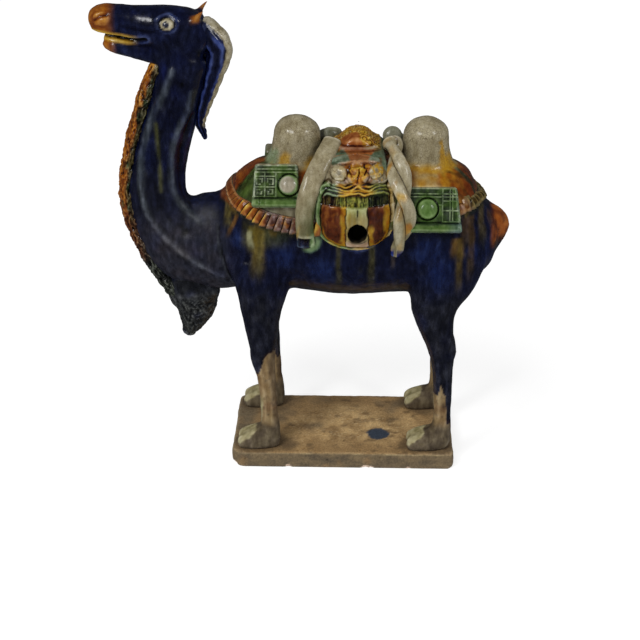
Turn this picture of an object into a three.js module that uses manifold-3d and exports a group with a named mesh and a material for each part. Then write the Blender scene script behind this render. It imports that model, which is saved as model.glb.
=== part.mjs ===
// A glazed pottery camel in the sancai manner, standing on a rectangular plinth with a pack of saddlebags,
// mat boards and silk skeins between its two humps. The camel and all it carries are one fired piece, drawn
// solid here, and the plinth is a slab of its own under the feet.
// Millimetres, +Z up. The origin is the centre of the plinth's underside. The head points to -X, and the side
// with the round vent hole faces -Y.
import * as THREE from "three";
import { mergeVertices } from "three/addons/utils/BufferGeometryUtils.js";
import Module from "manifold-3d";

const wasm = await Module();
wasm.setup();

// Driving dimensions
const FIGURE_HEIGHT = 470; // from the plinth's top to the crown of the head
const PLINTH_LENGTH = 238;
const PLINTH_WIDTH = 130;
const PLINTH_HEIGHT = 19;
const PLINTH_BEVEL = 2;
const PLINTH_CORNERS = [8, 7, 9, 14]; // radii, from the near corner at the tail, on towards the head and round
const FOOT_CLEARANCE = 0.3; // the feet stand this far clear of the plinth
const VENT_RADIUS = 9.8; // the round hole that let steam out in the kiln
const VENT_DEPTH = 34; // from the bag's face into the body
const CLOTH_THICKNESS = 3;
const FRILL_THICKNESS = 4.5;
const FRILL_WIDTH = 18;
const PLEAT_RISE = 2;
const PLEAT_PITCH = 9.5;
// Each frill runs from behind the straps along the cloth's edge and crosses the ridge: x, at a figure height of 470
const FRONT_FRILL = { from: -24, to: -115, over: -121.5 };
const REAR_FRILL = { from: 104, to: 135, over: 142 };
const CLOTH_ENDS = [-112, 134];
const FRILL_NARROWING = 6; // how much narrower the frill is on the ridge
const BOARD_THICKNESS = 6;
const BOARD_BACKING = 13; // clay behind a board, down to the body
const BOSS_RADIUS = 10;
const BOSS_RISE = 6;
const BAR_RADIUS = 4.2;

// The free form below is written in millimetres of a figure 470 high, from the plinth's top, and this share
// brings it to the height that is set above.
const GROWTH = FIGURE_HEIGHT / 470;

const WHITE = 0xb9ae98;
const BLUE = 0x14183c;
const CLAY = 0x9a7f5a;

const UP = new THREE.Vector3(0, 0, 1);
const ALONG = new THREE.Vector3(1, 0, 0);
const SIDEWAYS = new THREE.Vector3(0, 1, 0);

// Sections of the trunk: x, height of the centre, half width, half height
const TRUNK = [
  [-122, 211, 30, 32],
  [-107, 221, 42, 48],
  [-86, 232, 50, 65],
  [-50, 239, 53, 70],
  [0, 234, 54, 71],
  [45, 236, 55, 70],
  [82, 238, 54, 71],
  [108, 233, 51, 64],
  [126, 229, 45, 53],
  [140, 225, 37, 42],
  [149, 222, 28, 32],
];
const TRUNK_POWER = 2.25;

// Sections of what lies in the middle plane: x, z, half width across, half depth square to the spine
const NECK = [
  [-96, 219, 37, 48],
  [-134, 217, 33, 53],
  [-169, 221, 28, 47],
  [-190, 252, 23, 33],
  [-193.5, 283, 21, 31],
  [-186, 317, 20, 28.5],
  [-175.5, 350, 20, 27],
  [-166, 385, 19.5, 25],
  [-157, 412, 20, 25],
];
const SKULL = [
  [-140, 428, 17, 19],
  [-157, 436, 23, 25],
  [-180, 442, 21, 22],
  [-202, 446, 16.5, 17.5],
  [-222, 449, 15, 15.5],
  [-238, 450, 15.5, 14.5],
  [-247, 449, 12, 11],
];
const JAW = [
  [-158, 417, 18, 16],
  [-184, 416, 14, 12.5],
  [-206, 419, 12, 9.5],
  [-224, 423, 12, 8.5],
  [-235, 425, 9, 6.5],
];
const EYE = { x: -172, y: 19, z: 449, radius: 6 };
const EAR = [
  [-147, 13, 451, 5.5, 4],
  [-141, 18, 458, 5.5, 3.5],
  [-136, 21, 463, 3, 2],
];
const NAPE_LOCK = [
  [-140, 444, 13, 11],
  [-125, 422, 13, 13],
  [-131.5, 394, 11, 10],
  [-141.5, 366, 8, 8],
  [-146, 346, 5.5, 5],
  [-142.5, 333, 3, 2.5],
];
const CHEST_LOCK = [
  [-160, 182, 24, 32],
  [-159, 157, 20, 27],
  [-158, 141, 15, 21],
  [-162, 124, 10, 13],
  [-166, 113, 6, 7],
];
const MANE = [
  [-186, 404, 11, 7],
  [-198, 374, 12, 8],
  [-209, 340, 12, 8],
  [-218, 305, 13, 8.5],
  [-222, 272, 13.5, 9],
  [-217, 238, 14, 9],
  [-203, 202, 16, 9],
  [-184, 171, 15, 9],
  [-169, 145, 11, 8],
];
const TAIL = [
  [141, 258, 10, 8],
  [154, 249, 10.5, 10],
  [161, 238, 9.5, 9.5],
  [157, 222, 7, 7],
  [152, 207, 4, 4],
];
const HUMPS = [
  [
    [-53, 284, 31, 37],
    [-51, 303, 26.5, 30],
    [-49.5, 320, 23, 25],
    [-48.5, 335, 22, 24],
  ],
  [
    [84, 282, 31, 36],
    [82, 303, 26.5, 28],
    [81, 320, 23, 24],
    [80.5, 334, 22, 23.5],
  ],
];
const HUMP_DOME = 19;

// Sections of a leg on the -Y side, from the body down: x, y, z, half width across, half depth
const FRONT_LEG = [
  [-84, -29, 208, 21, 37],
  [-84, -34, 180, 20, 29],
  [-85.5, -38, 157, 17, 22],
  [-84.5, -42, 122, 13, 16],
  [-83.3, -44, 99, 11.5, 12.3],
  [-81, -45, 86, 10.5, 10.7],
  [-79, -45, 51, 9.5, 9.6],
  [-78, -45, 30, 10, 10],
  [-78, -45, 8, 11, 12],
];
const REAR_LEG = [
  [107, -25, 224, 26, 42],
  [101, -32, 195, 24, 37],
  [94, -37, 170, 20, 28],
  [94, -40, 150, 17, 21.5],
  [98.5, -42, 128, 13.5, 16.5],
  [102.5, -43, 112, 12, 14.5],
  [104, -44, 90, 10.5, 11.5],
  [105, -45, 53, 10, 10.3],
  [105, -45, 30, 10, 10],
  [105, -45, 8, 11, 12],
];
// A toe runs forward from the heel: distance ahead of the heel, y from the foot's middle, z, half width, half height
const TOE = [
  [4, 3.5, 7, 8, 12],
  [16, 5.5, 9, 9.5, 14],
  [30, 7, 7, 9, 12.5],
  [41, 7.5, 5, 7.5, 9.5],
];
const TOE_ROUNDING = 6;
const FOOT_Y = 45;
const FRONT_HEEL_X = -67;
const REAR_HEEL_X = 113;

// Sections of the saddlebag on the -Y side, from its foot up: z, half length, half depth
const BAG = [
  [231, 27, 20],
  [238, 35, 26],
  [249, 42.5, 31],
  [263, 45, 33],
  [280, 44.5, 32],
  [295, 39.5, 27],
  [308, 33, 20],
  [318, 25, 13],
];
const BAG_X = 10;
const BAG_Y = -33;
const BAG_POWER = 2.4;
const VENT_X = 13;
const VENT_Z = 252;

// The pad that joins the two bags over the back: y, z, half length, half depth
const PAD = [
  [-46, 298, 36, 12],
  [-37, 312, 32, 12],
  [-20, 319, 29, 11],
  [0, 321, 28, 11],
  [20, 319, 29, 11],
  [37, 312, 32, 12],
  [46, 298, 36, 12],
];
const ROLL = { x: 12, z: 319, radius: 21, width: 26, curls: 7, curl: 6.5 };

// The plain skein and the twisted skein on the -Y side: x, y, z, half width, half thickness
const PLAIN_SKEIN = [
  [-13, -14, 330, 9.5, 6.5],
  [-19, -29, 322, 10, 6.5],
  [-26, -42, 310, 10, 6.5],
  [-32, -51, 295, 9.5, 6.5],
  [-36, -56, 279, 9.5, 6.5],
  [-38, -59, 260, 9, 6],
  [-38, -58, 238, 9, 6],
];
const TWISTED_SKEIN = [
  [47, -12, 329, 9.5, 9],
  [49, -25, 324, 9.5, 7.5],
  [52, -41, 311, 11, 8],
  [55, -52, 295, 10.5, 8],
  [58, -57, 277, 11, 8],
  [56, -60, 258, 10.5, 7.5],
  [52, -59, 239, 8, 6.5],
  [50, -57, 228, 4, 4],
];
const SKEIN_TURNS = 1.5;

// Mat boards: x, y and z of the foot's middle, height, length at foot and top, and the boss's x from the middle. Two
// are on the near side and two on the far one, and each leans in by BOARD_LEAN.
const BOARD_LEAN = 20; // degrees
const BOARDS = [
  [-68, -49, 275, 42, 48, 42, 13],
  [87, -54, 252, 44, 59, 48, -5],
  [-62, 49, 272, 41, 48, 42, 11],
  [87, 54, 257, 44, 60, 44, -5],
];

// Lower edge of the saddle cloth's frill on the flank, from the neck to the rump: x, z
const CLOTH_EDGE = [
  [-121, 280],
  [-116, 277],
  [-108, 270],
  [-97.5, 262.5],
  [-85, 255.5],
  [-70, 251],
  [-49, 247.5],
  [0, 244],
  [60, 244],
  [92, 248],
  [104, 256],
  [112, 263],
  [119, 267],
  [127, 268.5],
  [135, 271.5],
  [142, 276],
];

// A row of a table, brought to the height that is set
const scaled = (row) => row.map((value) => value * GROWTH);

// A closed skin through oval sections. Each station is [x, y, z, half width, half depth]. The width runs along
// the side axis, and the depth square to it and to the spine. The ends are rounded over the given lengths.
function skin(stations, { sides = 10, steps = 1, power = 2, ends = [6, 6], side = SIDEWAYS, turns = 0 } = {}) {
  const spine = new THREE.CatmullRomCurve3(
    stations.map(([x, y, z]) => new THREE.Vector3(x, y, z)),
    false,
    "catmullrom",
  );
  const sizes = new THREE.CatmullRomCurve3(
    stations.map(([, , , wide, deep]) => new THREE.Vector3(wide, deep, 0)),
    false,
    "catmullrom",
  );
  const count = (stations.length - 1) * steps;
  const rings = [];
  for (let i = 0; i <= count; i++) {
    const t = i / count;
    const size = sizes.getPoint(t);
    rings.push({ at: spine.getPoint(t), along: spine.getTangent(t), wide: size.x, deep: size.y, t });
  }
  rings.unshift(...roundedEnd(rings[0], -ends[0]).reverse());
  rings.push(...roundedEnd(rings[rings.length - 1], ends[1]));

  const points = [];
  for (const { at, along, wide, deep, t } of rings) {
    const across = side.clone().addScaledVector(along, -side.dot(along)).normalize();
    const inward = along.clone().cross(across);
    const twist = turns * 2 * Math.PI * t;
    for (let j = 0; j < sides; j++) {
      const angle = (2 * Math.PI * j) / sides;
      const a = wide * Math.sign(Math.cos(angle)) * Math.abs(Math.cos(angle)) ** (2 / power);
      const b = deep * Math.sign(Math.sin(angle)) * Math.abs(Math.sin(angle)) ** (2 / power);
      points.push(
        at
          .clone()
          .addScaledVector(across, a * Math.cos(twist) - b * Math.sin(twist))
          .addScaledVector(inward, a * Math.sin(twist) + b * Math.cos(twist)),
      );
    }
  }
  return solid(closedRings(points, rings.length, sides));
}

// Rings that round a skin's end over the given length
function roundedEnd(ring, length) {
  const arc = length < 0 || length > 0 ? [0.55, 0.93] : [];
  return arc.map((share) => {
    const shrink = Math.sqrt(1 - share * share);
    return {
      ...ring,
      at: ring.at.clone().addScaledVector(ring.along, length * share),
      wide: ring.wide * shrink,
      deep: ring.deep * shrink,
    };
  });
}

// Joins equal rings of points into a closed surface that faces out
function closedRings(points, count, sides) {
  const index = [];
  for (let i = 0; i + 1 < count; i++) {
    for (let j = 0; j < sides; j++) {
      const k = (j + 1) % sides;
      const [a, b, c, d] = [i * sides + j, i * sides + k, (i + 1) * sides + j, (i + 1) * sides + k];
      index.push(a, b, c, b, d, c);
    }
  }
  const last = (count - 1) * sides;
  for (let j = 1; j + 1 < sides; j++) {
    index.push(0, j + 1, j, last, last + j, last + j + 1);
  }
  const geometry = new THREE.BufferGeometry();
  geometry.setAttribute("position", new THREE.Float32BufferAttribute(points.flatMap((p) => p.toArray()), 3));
  geometry.setIndex(index);
  return geometry;
}

// A closed geometry as a solid that can be joined and cut
function solid(geometry) {
  geometry.deleteAttribute("normal");
  geometry.deleteAttribute("uv");
  const merged = mergeVertices(geometry, 1e-4);
  const vertProperties = merged.attributes.position.array;
  const triVerts = new Uint32Array(merged.index.array);
  const made = new wasm.Manifold(new wasm.Mesh({ numProp: 3, vertProperties, triVerts }));
  if (made.volume() > 0) return made;
  // A mirrored surface comes wound the other way round, so it is turned to face out
  triVerts.reverse();
  return new wasm.Manifold(new wasm.Mesh({ numProp: 3, vertProperties, triVerts }));
}

// A solid as a geometry with flat faces
function geometryOf(body) {
  const mesh = body.getMesh();
  const geometry = new THREE.BufferGeometry();
  geometry.setAttribute("position", new THREE.Float32BufferAttribute(mesh.vertProperties, 3));
  geometry.setIndex(new THREE.BufferAttribute(mesh.triVerts, 1));
  const flat = geometry.toNonIndexed();
  flat.computeVertexNormals();
  return flat;
}

const union = (parts) => parts.reduce((whole, part) => whole.add(part));

// A table of the middle plane as stations
const midline = (table) => table.map(([x, z, wide, deep]) => scaled([x, 0, z, wide, deep]));

// A table as stations on the near side (-1, as written) or mirrored to the far side (1)
const onSide = (table, far) => table.map(([x, y, z, wide, deep]) => scaled([x, far ? -y : y, z, wide, deep]));

// The value between low and high at which a rising reading reaches the one that is wanted
function whereReads(reading, wanted, low, high) {
  for (let i = 0; i < 22; i++) {
    const middle = (low + high) / 2;
    if (reading(middle) < wanted) low = middle;
    else high = middle;
  }
  return low;
}

// A smooth line through the rows of a table, read by its first column
function reader(table) {
  const line = new THREE.CatmullRomCurve3(table.map(([x, a]) => new THREE.Vector3(x, a, 0)), false, "catmullrom");
  return (x) => line.getPoint(whereReads((t) => line.getPoint(t).x, x, 0, 1)).y;
}

const clothEdge = reader(CLOTH_EDGE.map(scaled));

const SKIN_REACH = 55 * GROWTH; // a turn of one radian over the trunk's skin

// The trunk's spine and its sizes along it. Its rings are square to the spine, so they lean towards the ends.
const trunkTable = TRUNK.map(scaled);
const trunkSpine = new THREE.CatmullRomCurve3(
  trunkTable.map(([x, z]) => new THREE.Vector3(x, 0, z)),
  false,
  "catmullrom",
);
const trunkSizes = new THREE.CatmullRomCurve3(
  trunkTable.map(([, , wide, high]) => new THREE.Vector3(wide, high, 0)),
  false,
  "catmullrom",
);

// The trunk's skin, and the way out of it, at a share t of its length and at an angle that runs from the near side
// (0) over the ridge to the far one
function trunkRing(t, angle) {
  const along = trunkSpine.getTangent(t);
  const up = new THREE.Vector3(-along.z, 0, along.x);
  const { x: wide, y: high } = trunkSizes.getPoint(t);
  const [c, s] = [Math.cos(angle), Math.sin(angle)];
  const a = -Math.sign(c) * Math.abs(c) ** (2 / TRUNK_POWER);
  const b = Math.sign(s) * Math.abs(s) ** (2 / TRUNK_POWER);
  const at = trunkSpine.getPoint(t).addScaledVector(SIDEWAYS, wide * a).addScaledVector(up, high * b);
  const out = up.clone().multiplyScalar((Math.sign(b) * Math.abs(b) ** (TRUNK_POWER - 1)) / high);
  out.addScaledVector(SIDEWAYS, (Math.sign(a) * Math.abs(a) ** (TRUNK_POWER - 1)) / wide);
  return { at, out: out.normalize() };
}

// The trunk's skin at x and an angle
function onTrunk(x, angle) {
  return trunkRing(whereReads((t) => trunkRing(t, angle).at.x, x, 0, 1), angle);
}

// The angle at which the trunk's skin stands at height z
function angleAt(x, z) {
  return whereReads((angle) => onTrunk(x, angle).at.z, z, 0, Math.PI / 2);
}

// The angle at which the trunk's skin lies under a point near it
function angleTowards(point) {
  const middle = trunkSpine.getPoint(0.5).z;
  const turn = ({ y, z }) => Math.atan2(z - middle, -y);
  return whereReads((angle) => turn(onTrunk(point.x, angle).at), turn(point), 0, Math.PI);
}

// A closed slab that lies on a surface: place(u, v) gives a point and the way out of it, for u and v from 0 to 1.
// It stands out by rise(u, v) and sinks in by the given depth.
function slab(place, columns, rows, rise, sink) {
  const points = [];
  for (const under of [false, true]) {
    for (let i = 0; i <= columns; i++) {
      for (let j = 0; j <= rows; j++) {
        const [u, v] = [i / columns, j / rows];
        const { at, out } = place(u, v);
        points.push(at.clone().addScaledVector(out, under ? -sink : rise(u, v)));
      }
    }
  }
  const id = (under, i, j) => (under * (columns + 1) + i) * (rows + 1) + j;
  const index = [];
  const face = (a, b, c, d) => index.push(a, b, c, a, c, d);
  for (let i = 0; i < columns; i++) {
    for (let j = 0; j < rows; j++) {
      face(id(0, i, j), id(0, i + 1, j), id(0, i + 1, j + 1), id(0, i, j + 1));
      face(id(1, i, j), id(1, i, j + 1), id(1, i + 1, j + 1), id(1, i + 1, j));
    }
    face(id(0, i, 0), id(1, i, 0), id(1, i + 1, 0), id(0, i + 1, 0));
    face(id(0, i, rows), id(0, i + 1, rows), id(1, i + 1, rows), id(1, i, rows));
  }
  for (let j = 0; j < rows; j++) {
    face(id(0, 0, j), id(0, 0, j + 1), id(1, 0, j + 1), id(1, 0, j));
    face(id(0, columns, j), id(1, columns, j), id(1, columns, j + 1), id(0, columns, j + 1));
  }
  const geometry = new THREE.BufferGeometry();
  geometry.setAttribute("position", new THREE.Float32BufferAttribute(points.flatMap((p) => p.toArray()), 3));
  geometry.setIndex(index);
  return solid(geometry);
}

// A ball, or a part squashed along each axis
function ball(x, y, z, rx, ry = rx, rz = rx, sides = 10) {
  const geometry = new THREE.SphereGeometry(1, sides, Math.round(sides * 0.6));
  geometry.scale(rx, ry, rz);
  geometry.translate(x, y, z);
  return solid(geometry);
}

// A box by its centre and size
function block(x, y, z, dx, dy, dz) {
  const geometry = new THREE.BoxGeometry(dx, dy, dz);
  geometry.translate(x, y, z);
  return solid(geometry);
}

function body() {
  const trunkStations = trunkTable.map(([x, z, wide, high]) => [x, 0, z, wide, high]);
  return union([
    skin(trunkStations, { sides: 18, power: TRUNK_POWER, ends: [10, 8] }),
    skin(midline(NECK), { sides: 12, ends: [4, 8] }),
    skin(midline(TAIL), { sides: 8 }),
    ...HUMPS.map((hump) => skin(midline(hump), { sides: 14, ends: [4, HUMP_DOME * GROWTH] })),
    ...[false, true].flatMap((far) => [leg(FRONT_LEG, FRONT_HEEL_X, far), leg(REAR_LEG, REAR_HEEL_X, far)]),
  ]);
}

// A leg down to its two-toed foot
function leg(table, heel, far) {
  const side = far ? 1 : -1;
  const toes = [-1, 1].map((way) => {
    const stations = TOE.map(([ahead, y, z, wide, high]) => [heel - ahead, side * FOOT_Y + way * y, z, wide, high]);
    return skin(stations.map(scaled), { sides: 7, ends: [5, TOE_ROUNDING] });
  });
  return union([skin(onSide(table, far), { sides: 8, ends: [4, 2] }), ...toes]);
}

function head() {
  const pair = [-1, 1].flatMap((side) => [
    ball(...scaled([EYE.x, side * EYE.y, EYE.z, EYE.radius]), EYE.radius * GROWTH, EYE.radius * GROWTH, 6),
    skin(EAR.map(([x, y, z, wide, deep]) => scaled([x, side * y, z, wide, deep])), { sides: 5, ends: [3, 3] }),
  ]);
  return union([
    skin(midline(SKULL), { sides: 10, ends: [8, 5] }),
    skin(midline(JAW), { sides: 8, ends: [5, 5] }),
    ...pair,
  ]);
}

// The long hair: down the throat, in a lock on the chest and in a lock behind the head
function hair() {
  return union([
    skin(midline(MANE), { sides: 6 }),
    skin(midline(CHEST_LOCK), { sides: 8 }),
    skin(midline(NAPE_LOCK), { sides: 8 }),
  ]);
}

// The saddle cloth from one flank over the back to the other
function cloth() {
  const [from, to] = scaled(CLOTH_ENDS);
  const place = (u, v) => {
    const x = from + (to - from) * u;
    const low = angleAt(x, clothEdge(x) + FRILL_WIDTH * 0.5);
    return onTrunk(x, low + (Math.PI - 2 * low) * v);
  };
  return slab(place, 11, 8, () => CLOTH_THICKNESS, 9);
}

// The line of a frill on the trunk's skin: up one flank, over the ridge and down the other
function frillLine({ from, to, over }) {
  const near = Array.from({ length: 7 }, (_, i) => {
    const x = (from + ((to - from) * i) / 6) * GROWTH;
    return [x, angleAt(x, clothEdge(x))];
  });
  const far = near.map(([x, angle]) => [x, Math.PI - angle]).reverse();
  const places = [...near, [over * GROWTH, Math.PI / 2], ...far];
  const line = new THREE.CatmullRomCurve3(
    places.map(([x, angle]) => new THREE.Vector3(x, angle * SKIN_REACH, 0)),
    false,
    "catmullrom",
  );
  const at = (u) => {
    const { x, y } = line.getPointAt(THREE.MathUtils.clamp(u, 0, 1));
    return onTrunk(x, y / SKIN_REACH);
  };
  return { at, length: line.getLength() };
}

// The pleated frill on the cloth's edge, narrowest where it crosses the ridge
function frill(span) {
  const line = frillLine(span);
  const pleats = Math.round(line.length / (PLEAT_PITCH * GROWTH));
  const columns = pleats * 2;
  const way = Math.sign(span.from - span.to);
  const place = (u, v) => {
    const { at, out } = line.at(u);
    const along = line.at(u + 0.01).at.sub(line.at(u - 0.01).at);
    const width = FRILL_WIDTH - FRILL_NARROWING * Math.sin(Math.PI * u) ** 4;
    const inner = at.addScaledVector(along.cross(out).normalize(), way * width * v);
    return onTrunk(inner.x, angleTowards(inner));
  };
  const rise = (u) => {
    const crest = Math.round(u * columns) % 2;
    return FRILL_THICKNESS * 0.85 + PLEAT_RISE * crest;
  };
  return slab(place, columns, 1, rise, 9);
}

// A saddlebag. The vent is cut through it once everything is joined.
function bag(far) {
  const side = far ? 1 : -1;
  const stations = BAG.map(([z, wide, deep]) => scaled([BAG_X, side * -BAG_Y, z, wide, deep]));
  return skin(stations, { sides: 16, power: BAG_POWER, ends: [6, 7], side: ALONG });
}

// The pad over the back and the roll on it, with a crest of curls
function bundle() {
  const pad = skin(PAD.map(([y, z, wide, deep]) => scaled([BAG_X, y, z, wide, deep])), { sides: 10, side: ALONG });
  const roll = skin(
    [-1, 0, 1].map((k) => scaled([ROLL.x, k * ROLL.width * 0.7, ROLL.z, ROLL.radius, ROLL.radius])),
    { sides: 12, ends: [9, 9], side: ALONG },
  );
  const curls = Array.from({ length: ROLL.curls }, (_, k) => {
    const angle = (Math.PI * (k + 0.5)) / ROLL.curls;
    const reach = ROLL.radius - 1;
    const [x, z, r] = scaled([ROLL.x + reach * Math.cos(angle), ROLL.z + reach * Math.sin(angle), ROLL.curl]);
    return ball(x, 0, z, r, 2.2 * r, r, 5);
  });
  return union([pad, roll, ...curls]);
}

function skeins(far) {
  return union([
    skin(onSide(PLAIN_SKEIN, far), { sides: 7, ends: [4, 4], side: ALONG }),
    skin(onSide(TWISTED_SKEIN, far), { sides: 6, steps: 2, power: 3, ends: [4, 3], side: ALONG, turns: SKEIN_TURNS }),
  ]);
}

// A mat board with a round bar along its foot and a boss
function board([x, y, z, height, foot, top, boss]) {
  const way = Math.sign(y);
  const lean = THREE.MathUtils.degToRad(BOARD_LEAN) * way;
  const outline = new THREE.Shape([
    new THREE.Vector2(-foot / 2, 0),
    new THREE.Vector2(foot / 2, 0),
    new THREE.Vector2(top / 2, height),
    new THREE.Vector2(-top / 2, height),
  ]);
  const panel = new THREE.ExtrudeGeometry(outline, { depth: BOARD_BACKING + BOARD_THICKNESS, bevelEnabled: false });
  panel.translate(0, 0, way < 0 ? -BOARD_BACKING : -BOARD_THICKNESS);
  const footBar = new THREE.CapsuleGeometry(BAR_RADIUS, foot - BAR_RADIUS, 1, 8);
  footBar.rotateZ(Math.PI / 2);
  footBar.translate(0, BAR_RADIUS * 0.6, 0);
  const stand = (geometry, high, out) => {
    geometry.translate(0, high, -way * out);
    geometry.rotateX(Math.PI / 2);
    geometry.rotateX(lean);
    geometry.scale(GROWTH, GROWTH, GROWTH);
    geometry.translate(...scaled([x, y, z]));
    return solid(geometry);
  };
  const dome = new THREE.SphereGeometry(BOSS_RADIUS, 10, 6);
  dome.scale(1, 1, BOSS_RISE / BOSS_RADIUS);
  dome.translate(boss, 0, 0);
  return union([
    stand(panel, 0, 0),
    stand(footBar, 0, BOARD_THICKNESS * 0.8),
    stand(dome, height * 0.5, BOARD_THICKNESS),
  ]);
}

// The round vent in the near bag, which starts clear of the bag's face
function vent() {
  const clear = 10;
  const face = Math.max(...BAG.map(([, , deep]) => deep)) * GROWTH - BAG_Y * GROWTH;
  const tool = new THREE.CylinderGeometry(VENT_RADIUS, VENT_RADIUS, VENT_DEPTH + clear, 20);
  tool.translate(VENT_X * GROWTH, -face - clear + (VENT_DEPTH + clear) / 2, VENT_Z * GROWTH);
  return solid(tool);
}

function camel() {
  const dressed = union([
    body(),
    head(),
    hair(),
    cloth(),
    frill(FRONT_FRILL),
    frill(REAR_FRILL),
    bundle(),
    ...[false, true].flatMap((far) => [bag(far), skeins(far)]),
    ...BOARDS.map(board),
  ]);
  const reach = 2 * FIGURE_HEIGHT;
  const below = block(0, 0, FOOT_CLEARANCE - reach / 2, reach, reach, reach);
  return dressed.subtract(below).subtract(vent());
}

// The slab under the feet: a rectangle with its corners rounded each in its own way
function plinth() {
  const [l, w] = [PLINTH_LENGTH / 2 - PLINTH_BEVEL, PLINTH_WIDTH / 2 - PLINTH_BEVEL];
  const [nearTail, farTail, farHead, nearHead] = PLINTH_CORNERS.map((r) => r - PLINTH_BEVEL);
  const outline = new THREE.Shape();
  outline.moveTo(-l + nearHead, -w);
  outline.lineTo(l - nearTail, -w);
  outline.quadraticCurveTo(l, -w, l, -w + nearTail);
  outline.lineTo(l, w - farTail);
  outline.quadraticCurveTo(l, w, l - farTail, w);
  outline.lineTo(-l + farHead, w);
  outline.quadraticCurveTo(-l, w, -l, w - farHead);
  outline.lineTo(-l, -w + nearHead);
  outline.quadraticCurveTo(-l, -w, -l + nearHead, -w);
  const geometry = new THREE.ExtrudeGeometry(outline, {
    depth: PLINTH_HEIGHT - 2 * PLINTH_BEVEL,
    bevelThickness: PLINTH_BEVEL,
    bevelSize: PLINTH_BEVEL,
    bevelSegments: 1,
    curveSegments: 4,
  });
  geometry.translate(0, 0, PLINTH_BEVEL);
  return solid(geometry);
}

// A node: a named mesh with a material of its own
function node(name, part, color, roughness) {
  const mesh = new THREE.Mesh(geometryOf(part), new THREE.MeshStandardMaterial({ color, roughness }));
  mesh.name = name;
  return mesh;
}

const group = new THREE.Group();
const figure = node("camel", camel(), WHITE, 0.3);
figure.position.z = PLINTH_HEIGHT;
group.add(figure);
group.add(node("plinth", plinth(), CLAY, 0.8));

export default group;
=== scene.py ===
"""The looks of a sancai-glazed pottery camel on a clay plinth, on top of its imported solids.

The forms are made in millimetres above the plinth's top, and are brought to metres when each mesh is made. Their
sizes are those of the solids, except that the rump and the withers are a little lower and the skeins a little to the
side. The head points to -X and the side seen by the camera faces -Y.
"""
import math

import bpy
import numpy as np
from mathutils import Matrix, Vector


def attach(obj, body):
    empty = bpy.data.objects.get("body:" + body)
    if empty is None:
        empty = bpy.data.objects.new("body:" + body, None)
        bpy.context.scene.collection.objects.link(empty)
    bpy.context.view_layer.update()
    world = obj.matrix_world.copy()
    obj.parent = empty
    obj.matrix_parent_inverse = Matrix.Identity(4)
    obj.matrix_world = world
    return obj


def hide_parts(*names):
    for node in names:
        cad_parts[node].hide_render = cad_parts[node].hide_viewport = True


MM = 0.001
# The way out of each flank, along Y
NEAR, FAR = -1, 1

# Sizes in millimetres
PLINTH_LENGTH = 238
PLINTH_WIDTH = 130
PLINTH_HEIGHT = 19
PLINTH_CORNERS = (8, 7, 9, 14)
FOOT_CLEARANCE = 0.3
VENT_RADIUS = 9.8
VENT_DEPTH = 34
CLOTH_THICKNESS = 3
FRILL_WIDTH = 18
PLEAT_PITCH = 8
BOARD_THICKNESS = 6
BOARD_BACKING = 13
BOARD_LEAN = 20
BOSS_RADIUS = 10
BOSS_RISE = 6
TRUNK_POWER = 2.25
BAG_POWER = 2.4
FRILL_THICKNESS = 4.5
PLEAT_RISE = 2
FRILL_NARROWING = 6
# Each frill runs from x to x along the cloth's edge and crosses the ridge at the third x
FRONT_FRILL = (-24, -115, -121.5)
REAR_FRILL = (104, 135, 142)
CLOTH_ENDS = (-112, 134)
SKIN_REACH = 55
HOLLOW_REACH = 3
FRET_WIDTH = 1.2
LEAST_HALF = 0.3
SKEIN_TURNS = 1.5
NAPE_BACK = math.pi / 2
# Chips on the plinth's lower edge: x, y, radius
PLINTH_CHIPS = [(-58, -65, 4), (24, -65, 5), (30, -65, 4), (-116, -58, 6), (70, -65, 3), (118, 20, 5), (-30, 65, 5)]
SPOT = (38, -22)

# How finely the pieces are meshed: the size of a face in mm, or counts of points around and of rings along
BODY_VOXEL, SADDLE_VOXEL, PAD_VOXEL, PLINTH_VOXEL = ((2.05, 1.6, 1.1, 1.95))
BODY_ROUNDS = round(14 * (2.3 / BODY_VOXEL) ** 2)
SADDLE_ROUNDS, PAD_ROUNDS = ((16, 5))
BAG_MESH = {NEAR: (340, 19), FAR: (210, 11)}
CAP_RINGS = 6
LEAST_CAP = 0.03
BAG_CAP = 16
SKEIN_MESH = {NEAR: (112, 22), FAR: (88, 18)}
BOARD_GRID = {NEAR: 0.48, FAR: 0.62}
PLEAT_MESH = ((14, 24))
HAIR_SHARE = 1

# Sections of the trunk: x, height of the centre, half width, half height
TRUNK = [
    (-122, 211, 30, 26), (-107, 221, 42, 41), (-86, 232, 50, 65), (-50, 239, 53, 70), (0, 234, 54, 71),
    (45, 236, 55, 70), (82, 238, 54, 71), (108, 230, 51, 61), (126, 225.5, 45, 49.5), (140, 222.5, 37, 39.5),
    (149, 221, 28, 31),
]
# Sections in the middle plane: x, z, half width across, half depth square to the spine
NECK = [
    (-96, 219, 37, 48), (-134, 217, 33, 53), (-169, 221, 28, 47), (-190, 252, 23, 33), (-193.5, 283, 21, 31),
    (-186, 317, 20, 28.5), (-175.5, 350, 20, 27), (-166, 385, 19.5, 25), (-157, 412, 20, 25),
]
SKULL = [
    (-140, 428, 17, 19), (-157, 436, 23, 25), (-180, 442, 21, 22), (-202, 446, 16.5, 17.5), (-222, 449, 15, 15.5),
    (-238, 450, 15.5, 14.5), (-247, 449, 12, 11),
]
JAW = [(-158, 417, 18, 16), (-184, 416, 14, 12.5), (-206, 419, 12, 9.5), (-224, 423, 12, 8.5), (-235, 425, 9, 6.5)]
EYE = (-172, 19, 449, 6)
EAR = [(-147, 13, 451, 5.5, 4), (-141, 18, 458, 5.5, 3.5), (-136, 21, 463, 3, 2)]
NAPE_LOCK = [
    (-140, 444, 13, 11), (-125, 422, 13, 13), (-131.5, 394, 11, 10), (-141.5, 366, 8, 8), (-146, 346, 5.5, 5),
    (-142.5, 333, 3, 2.5),
]
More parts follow.
